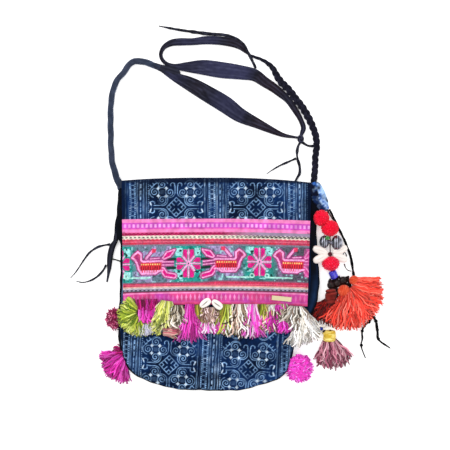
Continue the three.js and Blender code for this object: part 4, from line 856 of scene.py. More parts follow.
def cowrie(size, middle, turn, gape=1.0):
    """A cowrie: an egg that is blunter at one end, its upper side flattened and parted by a slit
    with teeth on both lips, which a `gape` below 1 closes. Rings run round its long axis, which is
    turned by `turn` degrees."""
    length, width, height = size
    polar, round_ = ball_angles(40, 48, 0.02)
    girth = np.sin(polar) ** 0.72 * (1 - 0.1 * np.cos(polar))
    x = -length / 2 * np.cos(polar)
    y = width / 2 * girth * np.cos(round_)
    z = height / 2 * girth * np.sin(round_) * np.where(np.sin(round_) > 0, 0.92, 1.0)
    upper = gape * np.clip(np.sin(round_) * 3, 0, 1) * np.clip(1.15 - np.abs(x) / (0.42 * length), 0, 1)
    lip = np.abs(y - 0.04 * width * np.sin(x / length * 5))
    slit = hump(lip, 0, 0.055 * width) * upper
    teeth = hump(lip, 0.15 * width, 0.09 * width) * upper * np.cos(2 * np.pi * x / TOOTH_PITCH)
    z = z - 0.3 * height * slit + 0.16 * teeth
    turn = np.radians(turn)
    points = np.stack([middle[0] + x * np.cos(turn) - y * np.sin(turn),
                       middle[1] + x * np.sin(turn) + y * np.cos(turn), middle[2] + z], -1)
    # Painted shade: darker between the teeth, in the slit and on the underside
    dye = mixed(SHELL_IVORY, (0.75 * np.clip(-teeth, 0, 1), SHELL_SHADE), (1.3 * slit, SLIT_SHADE),
                (0.4 * np.clip(-np.sin(round_), 0, 1), SHELL_SHADE))
    return points, dye


# Cowrie shell with its natural glaze: small sharp highlights on warm white
shell_glaze = polished("Cowrie shell, glazed", roughness=0.25, coat=0.4, grain=1.5, relief=0.04)
for name, x, y, turn in FLAP_SHELLS:
    seat = front_height(x, y) + LAP_GAP + RIBBON_LIFT + SEWN_GAP + FLAP_SHELL[2] / 2
    points, dye = cowrie(FLAP_SHELL, (x, y, seat), turn)
    add_rings(name + "_glazed", points, dye, shell_glaze, "cowrie", name)

# Fringe
# Thirteen tassels of thick spun wool along the flap's lower edge: cut yarn, tied at the top and
# pushed in under the ribbon, fluffed out until the tassels touch.
YARN = 0.85  # radius of the yarn
PLY = 5 / 7  # length of an uneven place in the ply
TASSEL_MOUND = [0, 0.15, 0.5, 0.85, 1], [0.6, 0.95, 1, 0.8, 0.45]  # shares of its length and depth
THREAD_STATIONS, THREAD_SIDES = 9, 4  # points along a thread and round it
LIME = ["#c2d048", "#a4b838", "#dde87c", "#7c9428", "#b4c63c", "#55701c"]
LIME_YELLOW = ["#f2f28a", "#e2e470", "#faf8c4", "#bcc662", "#8c9a50"]
HOT_MAGENTA = ["#f24ccc", "#e03cb4", "#fb78e2", "#cc2a9c"]
HOT_PINK = ["#fb4cdc", "#f238c8", "#ff7cec", "#dc28b4", "#c01c98"]
DEEP_MAGENTA = ["#dc34b0", "#c82498", "#e858c4", "#ac1880"]
NEON_PINK = ["#ff62e8", "#ff50dc", "#ff92f4", "#f03ccc", "#dc34b8"]
DEEP_CRIMSON = ["#b41470", "#9c0c5c", "#cc2488", "#84084c"]
PALE_LILAC = ["#f4f0fc", "#d4d4f0", "#ffffff"]
BEIGE = ["#ece4d6", "#bcae98", "#645444", "#f8f2ea", "#42342a", "#94866e"]
DUSKY_RED = ["#c8707c", "#a84c60", "#dca09c"]
OLIVE = ["#b4ac40", "#8c8630", "#d2cc6c", "#6a6424"]
DUSKY = ["#c8a29a", "#e2c2ba", "#987868", "#f6dede", "#b09a6c", "#785850"]
PALE_PINK = ["#fbe8f8", "#f8b8ec", "#f272da", "#ffffff", "#f04cc0"]
CREAM_WOOL = ["#fff8ee", "#e9dac8", "#6a5444", "#fffdf8", "#a08a74", "#e8c4b4", "#463630"]
GREY_WOOL = ["#f6f0e6", "#a5988a", "#6c6258", "#d8cfc2", "#ffffff", "#8a7466"]
WHITE = ["#ffffff", "#fdfaf6", "#f6f1e8", "#ffffff", "#e4ddd2"]
MIXED = ["#7c5e50", "#ece2cc", "#e248b0", "#c8ac70", "#94704c", "#ccd05c", "#4c3830", "#f0e8d8"]
FRINGE_SLOTS = ["lime_yarn", "magenta_yarn", "lime_yarn", "beige_yarn", "magenta_yarn", "olive_yarn",
                "mixed_yarn", "lime_yarn", "beige_yarn", "magenta_yarn", "olive_yarn", "mixed_yarn",
                "white_yarn"]
FRINGE = [
    # tassel, x, y, turn, fan, length at its left and right, head, depth, lift, threads, curl, colours
    (1, -98.5, -33, -50, 55, (26, 30), 9, 11, 0, 210, 1.2, LIME),
    (1, -99.5, -29, -116, 28, (22, 21), 8, 9, 3.2, 80, 1.0, LIME),
    (1, -101, -43, -8, 32, (18, 18), 12, 8, 1, 60, 1.2, LIME_YELLOW),
    (2, -87, -14.5, 2, -12, (26, 24), 26, 8, 3.0, 140, 1.0, DEEP_CRIMSON + HOT_MAGENTA[1:2]),
    (2, -88, -27, -2, -9, (19, 18), 20, 8, 3.6, 90, 1.2, HOT_MAGENTA),
    (2, -89.5, -45, 0, 20, (16, 16), 15, 7, 0, 56, 1.2, PALE_LILAC),
    (3, -62.0, -16.5, -7, 23, (40, 38), 13, 9, 3, 170, 1.8, LIME_YELLOW),
    (3, -70, -41, -50, 26, (22, 21), 8, 8, 0, 54, 1.6, LIME_YELLOW),
    (4, -50.5, -22, 1, 22, (32, 33), 16, 10, 2.5, 150, 3.6, BEIGE),
    (4, -66.5, -55, 93, 6, (23, 22), 8, 6, 6, 40, 1.2, DUSKY_RED + BEIGE[1:2]),
    (5, -33.5, -20.4, -1, 9, (51, 51), 10, 11, 0, 110, 1.4, HOT_MAGENTA),
    (5, -34, -26, -3, 17, (36, 31), 11, 10, 0, 120, 2.0, HOT_MAGENTA),
    (6, -23, -21.5, 4, 16, (24, 27), 12, 7, 0, 90, 1.2, OLIVE),
    (7, -8.5, -24.5, 0, 22, (25, 25), 19, 9, 0, 150, 2.6, DUSKY),
    (7, -10, -42, 0, 30, (17, 17), 22, 7, 0, 90, 1.6, PALE_PINK),
    (7, 4, -43, 8, 24, (15, 15), 8, 7, 0.5, 36, 1.4, HOT_MAGENTA),
    (8, 12.5, -21, -6, 15, (40, 39), 11, 9, 0, 140, 1.4, LIME[:4] + OLIVE[:2]),
    (9, 28, -20.6, 0, 18, (44, 45), 18, 10, 0, 180, 4.0, CREAM_WOOL),
    (10, 44, -20.6, -1, 13, (45, 45), 11, 10, 0, 150, 1.6, HOT_MAGENTA[:3] + PALE_PINK[:3]),
    (11, 55.5, -20.8, 0, 12, (27, 27), 11, 8, 0, 80, 1.2, OLIVE + LIME[:2]),
    (12, 72, -21, 2, 16, (38, 38), 30, 8, 0, 180, 3.0, MIXED),
    (12, 68.5, -21.5, 0, 30, (9, 9), 6, 9, 2, 28, 0.6, WHITE),
    (12, 75.5, -21.5, 0, 25, (10, 10), 6, 9, 2, 28, 0.6, HOT_MAGENTA),
    (12, 71, -35, -8, 34, (17, 21), 7, 9, 2, 60, 1.4, HOT_PINK),
    (12, 82, -41, 4, 28, (18, 17), 7, 9, 2, 48, 1.2, HOT_PINK),
    (13, 99, -23.5, -4, 38, (33, 36), 16, 12, 2.0, 130, 3.4, GREY_WOOL),
    (13, 106, -33, 14, 23, (46, 38), 14, 12, 0, 200, 2.6, WHITE),
]


def spun_wool(name):
    """Spun wool: matt, coloured by its dye, with soft hairs round it that catch the light and an
    uneven ply."""
    material = new_material(name)
    place = add_node(material, "ShaderNodeTexCoord").outputs["Object"]
    colour, ply = uneven_dye(material, place, PLY, detail=2.0, low=0.75)
    bump = add_node(material, "ShaderNodeBump", {"Height": ply, "Distance": 0.2 * MM, "Strength": 0.7})
    wool = add_node(material, "ShaderNodeBsdfPrincipled",
                    {"Base Color": colour, "Roughness": 0.95, "Sheen Weight": 0.12,
                     "Specular IOR Level": 0.06, "Normal": bump.outputs[0]})
    add_node(material, "ShaderNodeOutputMaterial", {"Surface": wool.outputs[0]})
    return material


def tubes(paths, radii, sides):
    """Round threads along paths (thread, station, xyz): a ring of points across each station, and a
    face at each end. Returns the points and the faces."""
    threads, stations = paths.shape[:2]
    heading = unit(np.gradient(paths, axis=1))
    across = np.cross([0.0, 0.0, 1.0], heading)
    steep = np.linalg.norm(across, axis=-1, keepdims=True) < 0.05
    across = unit(np.where(steep, [1.0, 0.0, 0.0], across))
    rise = np.cross(heading, across)
    turn = ring_angles(sides).T
    ring = across[:, :, None] * np.cos(turn) + rise[:, :, None] * np.sin(turn)
    points = paths[:, :, None] + np.broadcast_to(radii, (threads, stations))[..., None, None] * ring
    first = (np.arange(threads) * stations * sides)[:, None, None]
    faces = [(face[None] + first).reshape(-1, face.shape[1]) for face in closed_rings(stations, sides)]
    return points.reshape(-1, 3), faces


def thread_dye(colours, lit, stations, sides, random):
    """One colour of the list for each thread, darkened by how far it is lit, and paler towards its end:
    painted shade that is deepest at the head.
    """
    dyes = np.array([linear(colour) for colour in colours])
    chosen = dyes[random.integers(len(colours), size=len(lit))]
    chosen = chosen * lit.reshape(-1, 1) * random.uniform(0.58, 1.38, (len(lit), 1))
    along = np.linspace(0.75, 1.1, stations)[None, :, None, None]
    return (chosen[:, None, None] * along * np.ones((1, 1, sides, 1))).reshape(-1, 3)


def tassel(x, y, turn, fan, length, head, depth, base, threads, curl, colours, seed, lift=0.0,
           yarn=YARN, droop=0.2, stray=0.17, trim=0.19, shade=0.55, taper=0.12):
    """Threads of a tassel. Each starts at its place across the head and runs out by that place times
    the fan, wider at first where the tassel droops. It lies on the base, and the lift, by its layer
    in the depth, and curls more and more towards its cut end. Upper threads are shorter, so are those
    at the sides, by the taper, and lower ones are shaded."""
    random = np.random.default_rng(seed)
    side, layer = random.uniform(-1, 1, (threads, 1)), random.random((threads, 1))
    t = np.linspace(0, 1, THREAD_STATIONS)[None]
    turn = np.radians(turn)
    spread = np.radians(fan) * side * (1 + droop * (1 - t))
    heading = turn + spread + random.normal(0, stray, (threads, 1)) * t
    full = random.uniform(1.03 - trim, 1.03, (threads, 1)) - 0.45 * layer * random.random((threads, 1))
    reach = np.interp(side, [-1, 1], length) * (1 - taper * side ** 2) * full * t
    wave = [curl * t ** 1.2 * np.sin(2 * np.pi * (t * random.uniform(0.6, 2.0, (threads, 1))
                                                  + random.random((threads, 1)))) for _ in range(2)]
    px = x + reach * np.sin(heading) + side * head / 2 * np.cos(turn) + wave[0] * np.cos(heading)
    py = y - reach * np.cos(heading) + side * head / 2 * np.sin(turn) + wave[0] * np.sin(heading)
    mound = np.interp(t, *TASSEL_MOUND) * (1 - 0.45 * side ** 2)
    piled = np.maximum((depth - 2 * yarn) * layer * mound + 0.6 * wave[1], 0)
    pz = base(px, py) + lift + yarn + piled
    radii = yarn * np.interp(t, [0, 0.85, 1], [1, 1, 0.75]) * random.uniform(0.8, 1.15, (threads, 1))
    points, faces = tubes(np.stack([px, py, pz], -1), radii, THREAD_SIDES)
    lit = shade + (1.1 - shade) * layer
    return points, faces, thread_dye(colours, lit, THREAD_STATIONS, THREAD_SIDES, random)


def joined(*parts):
    """Several parts as one: their points, their faces with the numbers moved on, and colours."""
    starts = np.cumsum([0] + [len(points) for points, _, _ in parts[:-1]])
    faces = [face + start for (_, own, _), start in zip(parts, starts) for face in own]
    return (np.concatenate([points for points, _, _ in parts]), faces,
            np.concatenate([np.broadcast_to(dye, points.shape) for points, _, dye in parts]))


def under_fringe(x, y):
    """Height of what the fringe lies on: the front panel, and past its edge the side strip, which
    falls away to the floor."""
    left, right = edges_at(y)
    past = np.maximum(np.maximum(left - x, x - right) - 6, 0)
    return np.maximum(front_height(x, y) + LAP_GAP - 0.9 * past, 1)


# Dyed wool, spun thick: matt and fuzzy, with a ply that shades every thread
wool = spun_wool("Spun wool yarn")
bundles = {}
for seed, (number, *shape, lift, threads, curl, colours) in enumerate(FRINGE):
    bundle = tassel(*shape, under_fringe, threads, curl, colours, 100 + seed, lift)
    bundles.setdefault(number, []).append(bundle)
for number, slot in enumerate(FRINGE_SLOTS, 1):
    node = f"fringe_tassel_{number:02d}"
    add_piece(node + "_yarn", *joined(*bundles[number]), wool, slot, node)

# Tassels at the pouch
# Three tassels of the same wool that lie beside the pouch: a dusky crimson one at its left side, cut
# short and round, a magenta one that spreads at the left corner, and a round one at the right corner.
FLOOR_GAP = 0.3  # keeps a piece off the floor
SIDE_PUFF = (-129.0, -40.5, 6.3), (12.0, 14.5, 5.8)  # middle and radii
CORNER_PUFF = (103.2, -102.0, 7.9), (17.8, 18.2, 7.2)
# The side tassel's core is dark crimson: painted shade deep between its tufts
DUSKY_CRIMSON, CRIMSON_CORE_SHADE = ["#c84478", "#9c305c", "#e484a4", "#b03868"], ("#5c1430", "#8c2048")
NEON_CORE = ("#e03cb4", "#ff58e0")
SIDE_TUFTS, CORNER_TUFTS = 260, 620  # threads of the two round ones
CORNER_SPREAD = -118.0, -86.0, -44, 42, (29, 38), 12, 12  # from x to depth, as for the fringe
CORNER_TOP = -115.5, -80.5, -62, 34, (17, 19), 8, 12


def on_floor(x, y):
    """Height of what lies on the floor, with the gap that keeps it off."""
    return 0 * x + FLOOR_GAP


def wound_ball(middle, radii, wraps, colours, seed, axis=(0.0, 1.0, 0.0), squareness=1.0,
               groove=0.035, count=40):
    """A ball or barrel wound with thread: rings about its axis, whose girth swells at each wrap. The
    radii are across, along the axis and upwards; `squareness` below 1 makes the profile fuller."""
    ring = 32
    polar, round_ = ball_angles(count, ring, 0.04)
    cosine, sine = np.cos(polar), np.sin(polar)
    along = radii[1] * np.sign(cosine) * np.abs(cosine) ** squareness
    swell = 1 + groove * np.cos(np.pi * wraps * along / radii[1] + round_)
    girth = sine ** squareness * swell
    way = unit(np.array(axis, float))
    side = unit(np.cross([0.0, 0.0, 1.0], way))
    points = (np.array(middle) - along[..., None] * way
              + (radii[0] * girth * np.cos(round_))[..., None] * side
              + (radii[2] * girth * np.sin(round_))[..., None] * np.cross(way, side))
    shade = cloud(2 * along, 3 * round_, 1.6, seed)
    dye = mixed(colours[0], (np.clip(1.8 * shade - 0.6, 0, 1), colours[1]))
    # Painted light and shade: lighter where the girth swells at a wrap and darker in the grooves between;
    # with no wraps, lighter on one side
    dye = dye * (1 + 4 * (swell - 1))[..., None]
    return points.reshape(-1, 3), closed_rings(count, ring), dye.reshape(-1, 3)


def pompom(middle, radii, tufts, yarn, colours, core, seed, ragged=0.06, heart=0.84):
    """A ball of tufts: spots spread evenly over an oval ball by the golden angle, a short thread from
    each outwards to the clipped surface, round a solid core, whose share of the radius is `heart`.
    `ragged` is how unevenly it is clipped."""
    random = np.random.default_rng(seed)
    spot = np.arange(tufts) + 0.5
    rise = 1 - 2 * spot / tufts
    turn = spot * np.pi * (3 - np.sqrt(5))
    flat = np.sqrt(1 - rise ** 2)
    way = np.stack([flat * np.cos(turn), flat * np.sin(turn), rise], -1)
    lean = unit(way + random.normal(0, 2 * ragged, way.shape)) * np.array(radii)
    ends = random.uniform(1 - 1.5 * ragged, 1 + 0.6 * ragged, (tufts, 1)) * lean
    foot = 0.7 * way * np.array(radii)
    points, faces = tubes(np.array(middle) + np.stack([foot, (foot + ends) / 2, ends], 1),
                          yarn * np.array([[1, 0.95, 0.65]]), THREAD_SIDES)
    dye = thread_dye(colours, random.uniform(0.7, 1.1, tufts), 3, THREAD_SIDES, random)
    inner = wound_ball(middle, [heart * radius for radius in radii], 9, core, seed + 1)
    return joined((points, faces, dye), inner)


side_puff = pompom(*SIDE_PUFF, SIDE_TUFTS, YARN, DUSKY_CRIMSON, CRIMSON_CORE_SHADE, 140, ragged=0.16)
add_piece("side_tassel_yarn", *side_puff, wool, "crimson_yarn", "side_tassel")
corner = tassel(*CORNER_SPREAD, on_floor, 320, 1.6, DEEP_MAGENTA, 142)
corner_top = tassel(*CORNER_TOP, on_floor, 60, 1.0, DEEP_CRIMSON, 143)
add_piece("corner_tassel_left_yarn", *joined(corner, corner_top), wool, "magenta_yarn",
          "corner_tassel_left")
corner_puff = pompom(*CORNER_PUFF, CORNER_TUFTS, YARN, NEON_PINK, NEON_CORE, 144, ragged=0.12,
                     heart=0.88)
add_piece("corner_tassel_right_yarn", *corner_puff, wool, "magenta_yarn", "corner_tassel_right")

# Strap plaits
# Two plaits of torn dark cotton, sewn into the side seams: the left one worked flat and long, the
# right one a clear plait of three. Each ends where its strands are knotted to the loose bands.
NAVY_STRANDS = ("#293244", "#333848", "#5c6680")  # two dyes of a plait, and a paler one: painted highlight along its strands' sides, in patches, with some wear
BLACK_STRANDS = ("#12121a", "#1a1926", "#3d3d55")
BRAID_LEFT = [
    # x, y, height of the middle, width and thickness
    (-120.8, 122.9, 6.4, 8, 6), (-122.8, 129, 4.4, 8.4, 6), (-126, 136, 3.6, 8.2, 5.6),
    (-130.6, 150, 3.1, 7.4, 5.6), (-132.9, 164.4, 3.1, 7, 5.6), (-133.9, 194, 3.1, 7, 5.6),
    (-133.8, 228, 3.1, 7, 5.6), (-131.5, 245, 3.1, 7, 5.6), (-126.9, 258.1, 3.1, 7, 5.6),
    (-117.9, 269.5, 3.1, 7, 5.6), (-110.3, 279.4, 3.1, 7, 5.6), (-103.5, 284, 3.1, 7.4, 5.6),
    (-94.4, 283.1, 3.1, 7.6, 5.6), (-83, 280, 3.1, 7.4, 5.6), (-71.8, 275, 3, 6, 5),
]
BRAID_RIGHT = [
    (41, 291.4, 1.8, 3, 3), (56.3, 285.9, 2, 3.4, 3.4), (64, 281, 2.4, 4.6, 4.2),
    (70.2, 275, 2.8, 6, 5), (76, 264.2, 3.1, 7.5, 5.6), (82, 256, 3.1, 8, 5.6),
    (89, 249.3, 3.1, 8, 5.6), (98.2, 237.6, 3.1, 8, 5.6), (107.4, 225.8, 3.1, 8, 5.6),
    (114.8, 213.1, 3.1, 8, 5.6), (120.5, 200.8, 3.1, 7.6, 5.6), (124.4, 189.3, 3.1, 7.4, 5.6),
    (125.4, 176.3, 3.1, 7, 5.6), (123.6, 162.5, 3.1, 7, 5.6), (123.4, 149.5, 3.1, 7, 5.6),
    (122.4, 138.8, 3.8, 7, 5.6), (121.6, 131, 5.6, 6.6, 5.8), (119.6, 122.9, 6.4, 6, 6),
]


def carried(path, off, up):
    """A section carried along a route: at each of the route's points a ring, whose points lie `off`
    level across the route and `up` square to both."""
    heading = unit(np.gradient(path, axis=0))
    across = unit(np.cross([0.0, 0.0, 1.0], heading))
    rise = np.cross(heading, across)
    return path[:, None] + off[..., None] * across[:, None] + up[..., None] * rise[:, None]


def plait(table, pitch, fullness, wider, colours, seed):
    """Three strands along a route: each swings across by the sine of its turn and up and down by the
    sine of twice the turn, a third of a turn behind the next one. A strand is `fullness` of the
    plait's thickness, and creased along its length; `wider` slackens the plait sideways."""
    count, sides = 190, 14
    rows = smooth_rows(table, count)
    path, wide, high = rows[:, :3], rows[:, 3:4] * wider, rows[:, 4:5]
    run = np.concatenate([[0], np.linalg.norm(np.diff(path, axis=0), axis=1).cumsum()])[:, None]
    turn = ring_angles(sides)
    thick = np.minimum(wide, high) * fullness
    parts = []
    for strand in range(3):
        phase = 2 * np.pi * (run / pitch + strand / 3)
        crease = 1 + 0.07 * np.cos(4 * turn + phase * 1.5)
        off = (wide / 2 - thick) * np.sin(phase) + thick * crease * np.cos(turn)
        up = (np.maximum(high / 2 - 0.8 * thick, 0) * np.sin(2 * phase)
              + 0.8 * thick * crease * np.sin(turn))
        points = carried(path, off, up)
        wear_and_sheen_patches = cloud(run, 6 * turn, 5.0, seed + strand)
        # Painted highlight along each strand's sides, broken into patches, and patches of wear
        worn = np.clip(0.9 * np.abs(np.cos(turn)) ** 5 * wear_and_sheen_patches + 0.35 * (wear_and_sheen_patches - 0.4), 0, 1)
        blend = cloud(run, 0 * turn + 3 * strand, 22.0, seed + 7)
        dye = mixed(colours[0], (blend, colours[1]), (worn, colours[2]))
        parts.append((points.reshape(-1, 3), closed_rings(count, sides), dye.reshape(-1, 3)))
    return joined(*parts), path


def run_of(path):
    """Length of a route in metres, from its points in mm."""
    return float(np.linalg.norm(np.diff(path, axis=0), axis=1).sum()) * MM


def add_cord(name, shape, path, slot, material, stands_for):
    """Adds a length of cord or cloth as a piece. Its route is not used."""
    piece = add_piece(name, *shape, material, slot, stands_for)
    return piece


# Cotton torn into strips: matt and dark; its pieces' dye paints their folds paler as highlight
strap_cotton = dyed_cloth("Torn dark cotton", thread=1.3, relief=0.14, roughness=0.92)
left_shape, left_path = plait(BRAID_LEFT, pitch=64, fullness=0.5, wider=1.12,
                              colours=NAVY_STRANDS, seed=51)
add_cord("strap_plait_left", left_shape, left_path, "strap_cloth", strap_cotton, "strap_braid_left")
right_shape, right_path = plait(BRAID_RIGHT, pitch=23, fullness=0.42, wider=1.25,
                                colours=BLACK_STRANDS, seed=61)
add_cord("strap_plait_right", right_shape, right_path[::-1], "strap_cloth", strap_cotton,
         "strap_braid_right")

# Strap bands and knot
# Two long pieces of the same cotton left loose between the plaits, gathered into soft lengthwise
# folds, narrow where they are tied. The lower one and the upper one meet in a small knot.
BAND_DARK, BAND_VIOLET, BAND_BROWN, BAND_HIGHLIGHT_AND_FLECKS = "#191922", "#2e2f4a", "#251a20", "#6a6c8c"
FORK_TINT_AND_HIGHLIGHT, KNOT_HIGHLIGHT = "#3a3c4e", "#4c4e6a"
BAND_LOWER = [
    # columns as for the plaits
    (-70.8, 274.4, 2.6, 6, 4.4), (-53, 264, 2.6, 11.5, 4.6), (-33.8, 255, 2.8, 18, 5),
    (-9.6, 241.2, 2.8, 21, 5), (10.6, 229, 2.8, 21.5, 5), (28, 216.4, 2.8, 18.6, 5),
    (50.4, 205.6, 2.6, 13, 4.6), (71.6, 195.6, 2.4, 8.2, 4), (84, 190.6, 2.2, 5.4, 3.4),
    (99.6, 187.9, 2.6, 3, 3), (104, 187.4, 2.8, 3, 3),
]
BAND_UPPER = [
    (105.2, 188.2, 2.8, 3, 3), (106.6, 192.6, 2.8, 5, 3.4), (108.8, 199.5, 2.4, 6.4, 4),
    (105.6, 209.6, 2.4, 6.4, 4), (98.2, 222.8, 2.4, 8.2, 4), (89.2, 235.2, 2.5, 8.6, 4.2),
    (81.2, 242.6, 2.6, 10.6, 4.6), (70.4, 251, 2.8, 12, 5), (59.2, 258.2, 2.8, 13.4, 5),
    (47.4, 266.2, 2.8, 15.6, 5), (28.8, 269.8, 2.8, 18.4, 5), (6.3, 272.6, 2.8, 20.5, 5),
    (-17.5, 276, 2.8, 19, 5), (-38.8, 276.6, 2.6, 12.4, 4.6), (-53, 277.2, 2.4, 7, 4),
    (-63, 280.4, 2.2, 5, 3.4), (-68.8, 285.6, 2, 4.8, 3.2), (-71, 292.4, 2, 4.8, 3.2),
    (-67.4, 301, 2.2, 6, 3.6), (-58, 306.8, 2.4, 8.4, 4.2), (-46.3, 308.2, 2.6, 9.6, 4.6),
    (-31.3, 308.4, 2.6, 9, 4.6), (-13.8, 310.2, 2.7, 10.5, 4.8), (3.8, 309.6, 2.7, 11, 4.8),
    (19.2, 307.2, 2.6, 11.2, 4.6), (29.4, 302.4, 2.3, 8.4, 4), (36.2, 296.2, 1.9, 4.8, 3),
    (39.6, 292.4, 1.8, 1.8, 2.2),
]
STRAP_FORK = [(-79, 278.6, 3.0, 7, 5.2), (-70, 275, 2.9, 9, 5), (-60, 271.6, 2.8, 13.5, 4.8),
              (-52, 269.4, 2.6, 12.5, 4.4), (-48.2, 268.8, 2.4, 9, 3.8), (-46.2, 268.6, 2.2, 2.5, 2.6)]
LOWER_TINTS = [
    # share of the band's length, tint
    (0, 0.7), (0.12, 0.6), (0.25, 0.0), (0.45, 0.5), (0.6, 0.5), (0.7, -0.7), (0.85, -0.5), (1, 0),
]
UPPER_TINTS = [
    (0, 0), (0.15, -0.2), (0.22, -0.8), (0.28, -0.4), (0.34, 0.9), (0.48, 0.8), (0.56, 0.3),
    (0.62, -0.2), (0.7, 0), (0.76, 0.5), (0.86, 0.7), (0.92, -0.2), (1, -0.3),
]
KNOT_X, KNOT_Y = 105.2, 186.0
KNOT_WIDE, KNOT_LONG, KNOT_HIGH = 8.4, 11.0, 7.0


def gathered(table, count, sides, seed, fold=0.16):
    """A gathered band: an oval across the route, as wide and thick as the table says, whose skin
    rises and sinks in folds that run along it and wander slowly."""
    rows = smooth_rows(table, count)
    path, wide, high = rows[:, :3], rows[:, 3:4], rows[:, 4:5]
    run = np.linspace(0, run_of(path) / MM, count)[:, None]
    turn = ring_angles(sides)
    off = wide / 2 * np.sign(np.cos(turn)) * np.abs(np.cos(turn)) ** 0.8
    wander = 6 * cloud(run, 0 * run, 38.0, seed)
    crest = fold * np.sin(off * 1.5 + wander) + 0.6 * fold * np.sin(off * 3.1 - 1.7 * wander)
    lift = high / 2 * np.sin(turn) * (0.86 + crest)
    return carried(path, off, lift), off, run, crest


def add_band(name, table, count, sides, seed, tints, stands_for):
    """Adds a gathered band: dark cloth whose fold crests are painted paler as highlight, with faint
    flecks of thread. The tints, by share of its length, go from -1, brown, to 1, violet, and are a little
    patchy."""
    points, off, run, crest = gathered(table, count, sides, seed)
    tint = np.interp(run / run.max(), *zip(*tints)) + 0.6 * (cloud(run, off, 30.0, seed + 1) - 0.5)
    thread = cloud(run * 0.25, off * 2.2, 1.4, seed + 2)
    dye = mixed(BAND_DARK, (np.clip(tint, 0, 1), BAND_VIOLET), (np.clip(-tint, 0, 1), BAND_BROWN),
                (0.14 * np.clip(crest / 0.2, 0, 1) + 0.12 * (thread - 0.4), BAND_HIGHLIGHT_AND_FLECKS))
    band = add_rings(name, points, dye, strap_cotton, "strap_cloth", stands_for)


add_band("strap_band_lower_cloth", BAND_LOWER, 150, 36, 71, LOWER_TINTS,
         "strap_band_lower")
add_band("strap_band_upper_cloth", BAND_UPPER, 260, 36, 81, UPPER_TINTS,
         "strap_band_upper")
fork_points, _, _, fork_crest = gathered(STRAP_FORK, 50, 30, 87)
# Painted highlight: paler on the fold crests, over a pale tint
fork_dye = mixed(BAND_DARK, (np.clip(0.3 + fork_crest, 0, 1), FORK_TINT_AND_HIGHLIGHT))
add_rings("strap_fork_cloth", fork_points, fork_dye, strap_cotton, "strap_cloth")

polar, round_ = ball_angles(40, 48, 0.03)
swell = 0.93 + 0.07 * np.sin(2 * round_ + 5 * polar) + 0.03 * np.sin(5 * round_ - 3 * polar)
knot_points = np.stack([KNOT_X + KNOT_WIDE / 2 * swell * np.sin(polar) * np.cos(round_),
                        KNOT_Y + KNOT_LONG / 2 * swell * np.sin(polar) * np.sin(round_),
                        FLOOR_GAP + KNOT_HIGH / 2 * (1 - swell * np.cos(polar))], -1)
# Painted highlight: paler on the knot's bulges
knot_dye = mixed(BAND_DARK, (np.clip((swell - 0.9) * 6, 0, 0.5), KNOT_HIGHLIGHT))
add_rings("strap_knot_cloth", knot_points, knot_dye, strap_cotton, "strap_cloth", "strap_knot")

# Ties and tails
# Narrow torn ends of the strap's cotton, twisted between the fingers until they taper: at the top
# of the strap, below its knot, and at the pouch's left side, where a thicker tail hangs from the seam
# and a short thread ties it to the side strip.
TIE, TIE_LEVEL = 2.2, 1.4  # dark, and paler: streaks of wear on the ties, painted highlight on the tail's fold crests
TIE_COTTON = ("#16161e", "#3a3c4c")  # dark, and worn
THREAD_GREEN = ("#0c1a16", "#20382e")
SIDE_TAIL = [
    # columns as for the plaits
    (-126.4, 68, 6.2, 5, 6), (-126.5, 63, 5.8, 6.6, 7), (-128, 57, 4, 6, 5), (-131.6, 50.8, 2.6, 7.4, 4),
    (-134.3, 41.1, 2.4, 7.6, 4), (-135.4, 32.1, 2.2, 6.8, 3.6), (-136, 22.8, 2, 5.2, 3.2),
    (-137.1, 15.5, 1.8, 3.4, 2.8), (-138.8, 5.4, 1.4, 2, 2),
]
TAIL_THREAD = [(-133.4, 35.2, 3.4), (-129.0, 34.0, 2.4), (-125.0, 33.0, 3.4), (-120.5, 31.6, 6.0)]
TAIL_THREAD_WIDE = 1.7
TIES = {
    # points of the routes: x, y, and the height where it isn't the ties' level
    "tie_top": [(48, 277.4), (46, 281.2), (43.2, 286.4, 4), (39.6, 293.2, 5.6), (36.6, 299.6, 4.4),
                (32, 306.8), (24, 312.6), (10, 317), (-6, 318.2), (-16, 319.2), (-48.8, 323.8),
                (-74.1, 328.6)],
    "tie_drop": [(121.6, 177), (115, 177.4), (110.6, 179.6), (106.2, 182), (102.8, 178.2),
                 (100.8, 168.8), (101.4, 161.2), (104.1, 151.2), (104, 142.5), (100.6, 136.4),
                 (98.8, 132.4)],
    "tie_branch": [(99.6, 161.4), (90, 157.2), (78.8, 152.2), (68.8, 146.4), (62.4, 142)],
    "side_tie_long": [(-134.8, 53), (-140.5, 52.3), (-150, 49.8), (-160, 43.4), (-167.3, 34.4),
                      (-173.9, 24.4), (-179.5, 16.5), (-185.1, 10.4)],
    "side_tie_short": [(-139.8, 27.2), (-144.4, 19.4), (-151.6, 12.1), (-160.5, 7.1), (-170, 5.1),
                       (-177.9, 6.8)],
}
EVEN = ([0, 1], [1, 1])  # shares of the length, and the width there
TAPER = ([0, 0.45, 1], [1.3, 1.2, 0.4])
TIE_TAPERS = {"tie_top": ([0, 0.2, 0.4, 0.62, 0.72, 0.9, 1], [1.5, 1.5, 1.7, 2.2, 1.7, 1.3, 0.5]),
              "tie_drop": ([0, 0.3, 0.85, 1], [1.3, 1.5, 1.5, 1.1])}
TOP_HITCH = (48.2, 276.2, 2.0), (1.7, 1.8, 1.6)  # where the top tie is hitched to the band, radii


def laid(route):
    """A route on the floor: points that are given without a height get the ties' level."""
    return [(x, y, *(height or [TIE_LEVEL])) for x, y, *height in route]


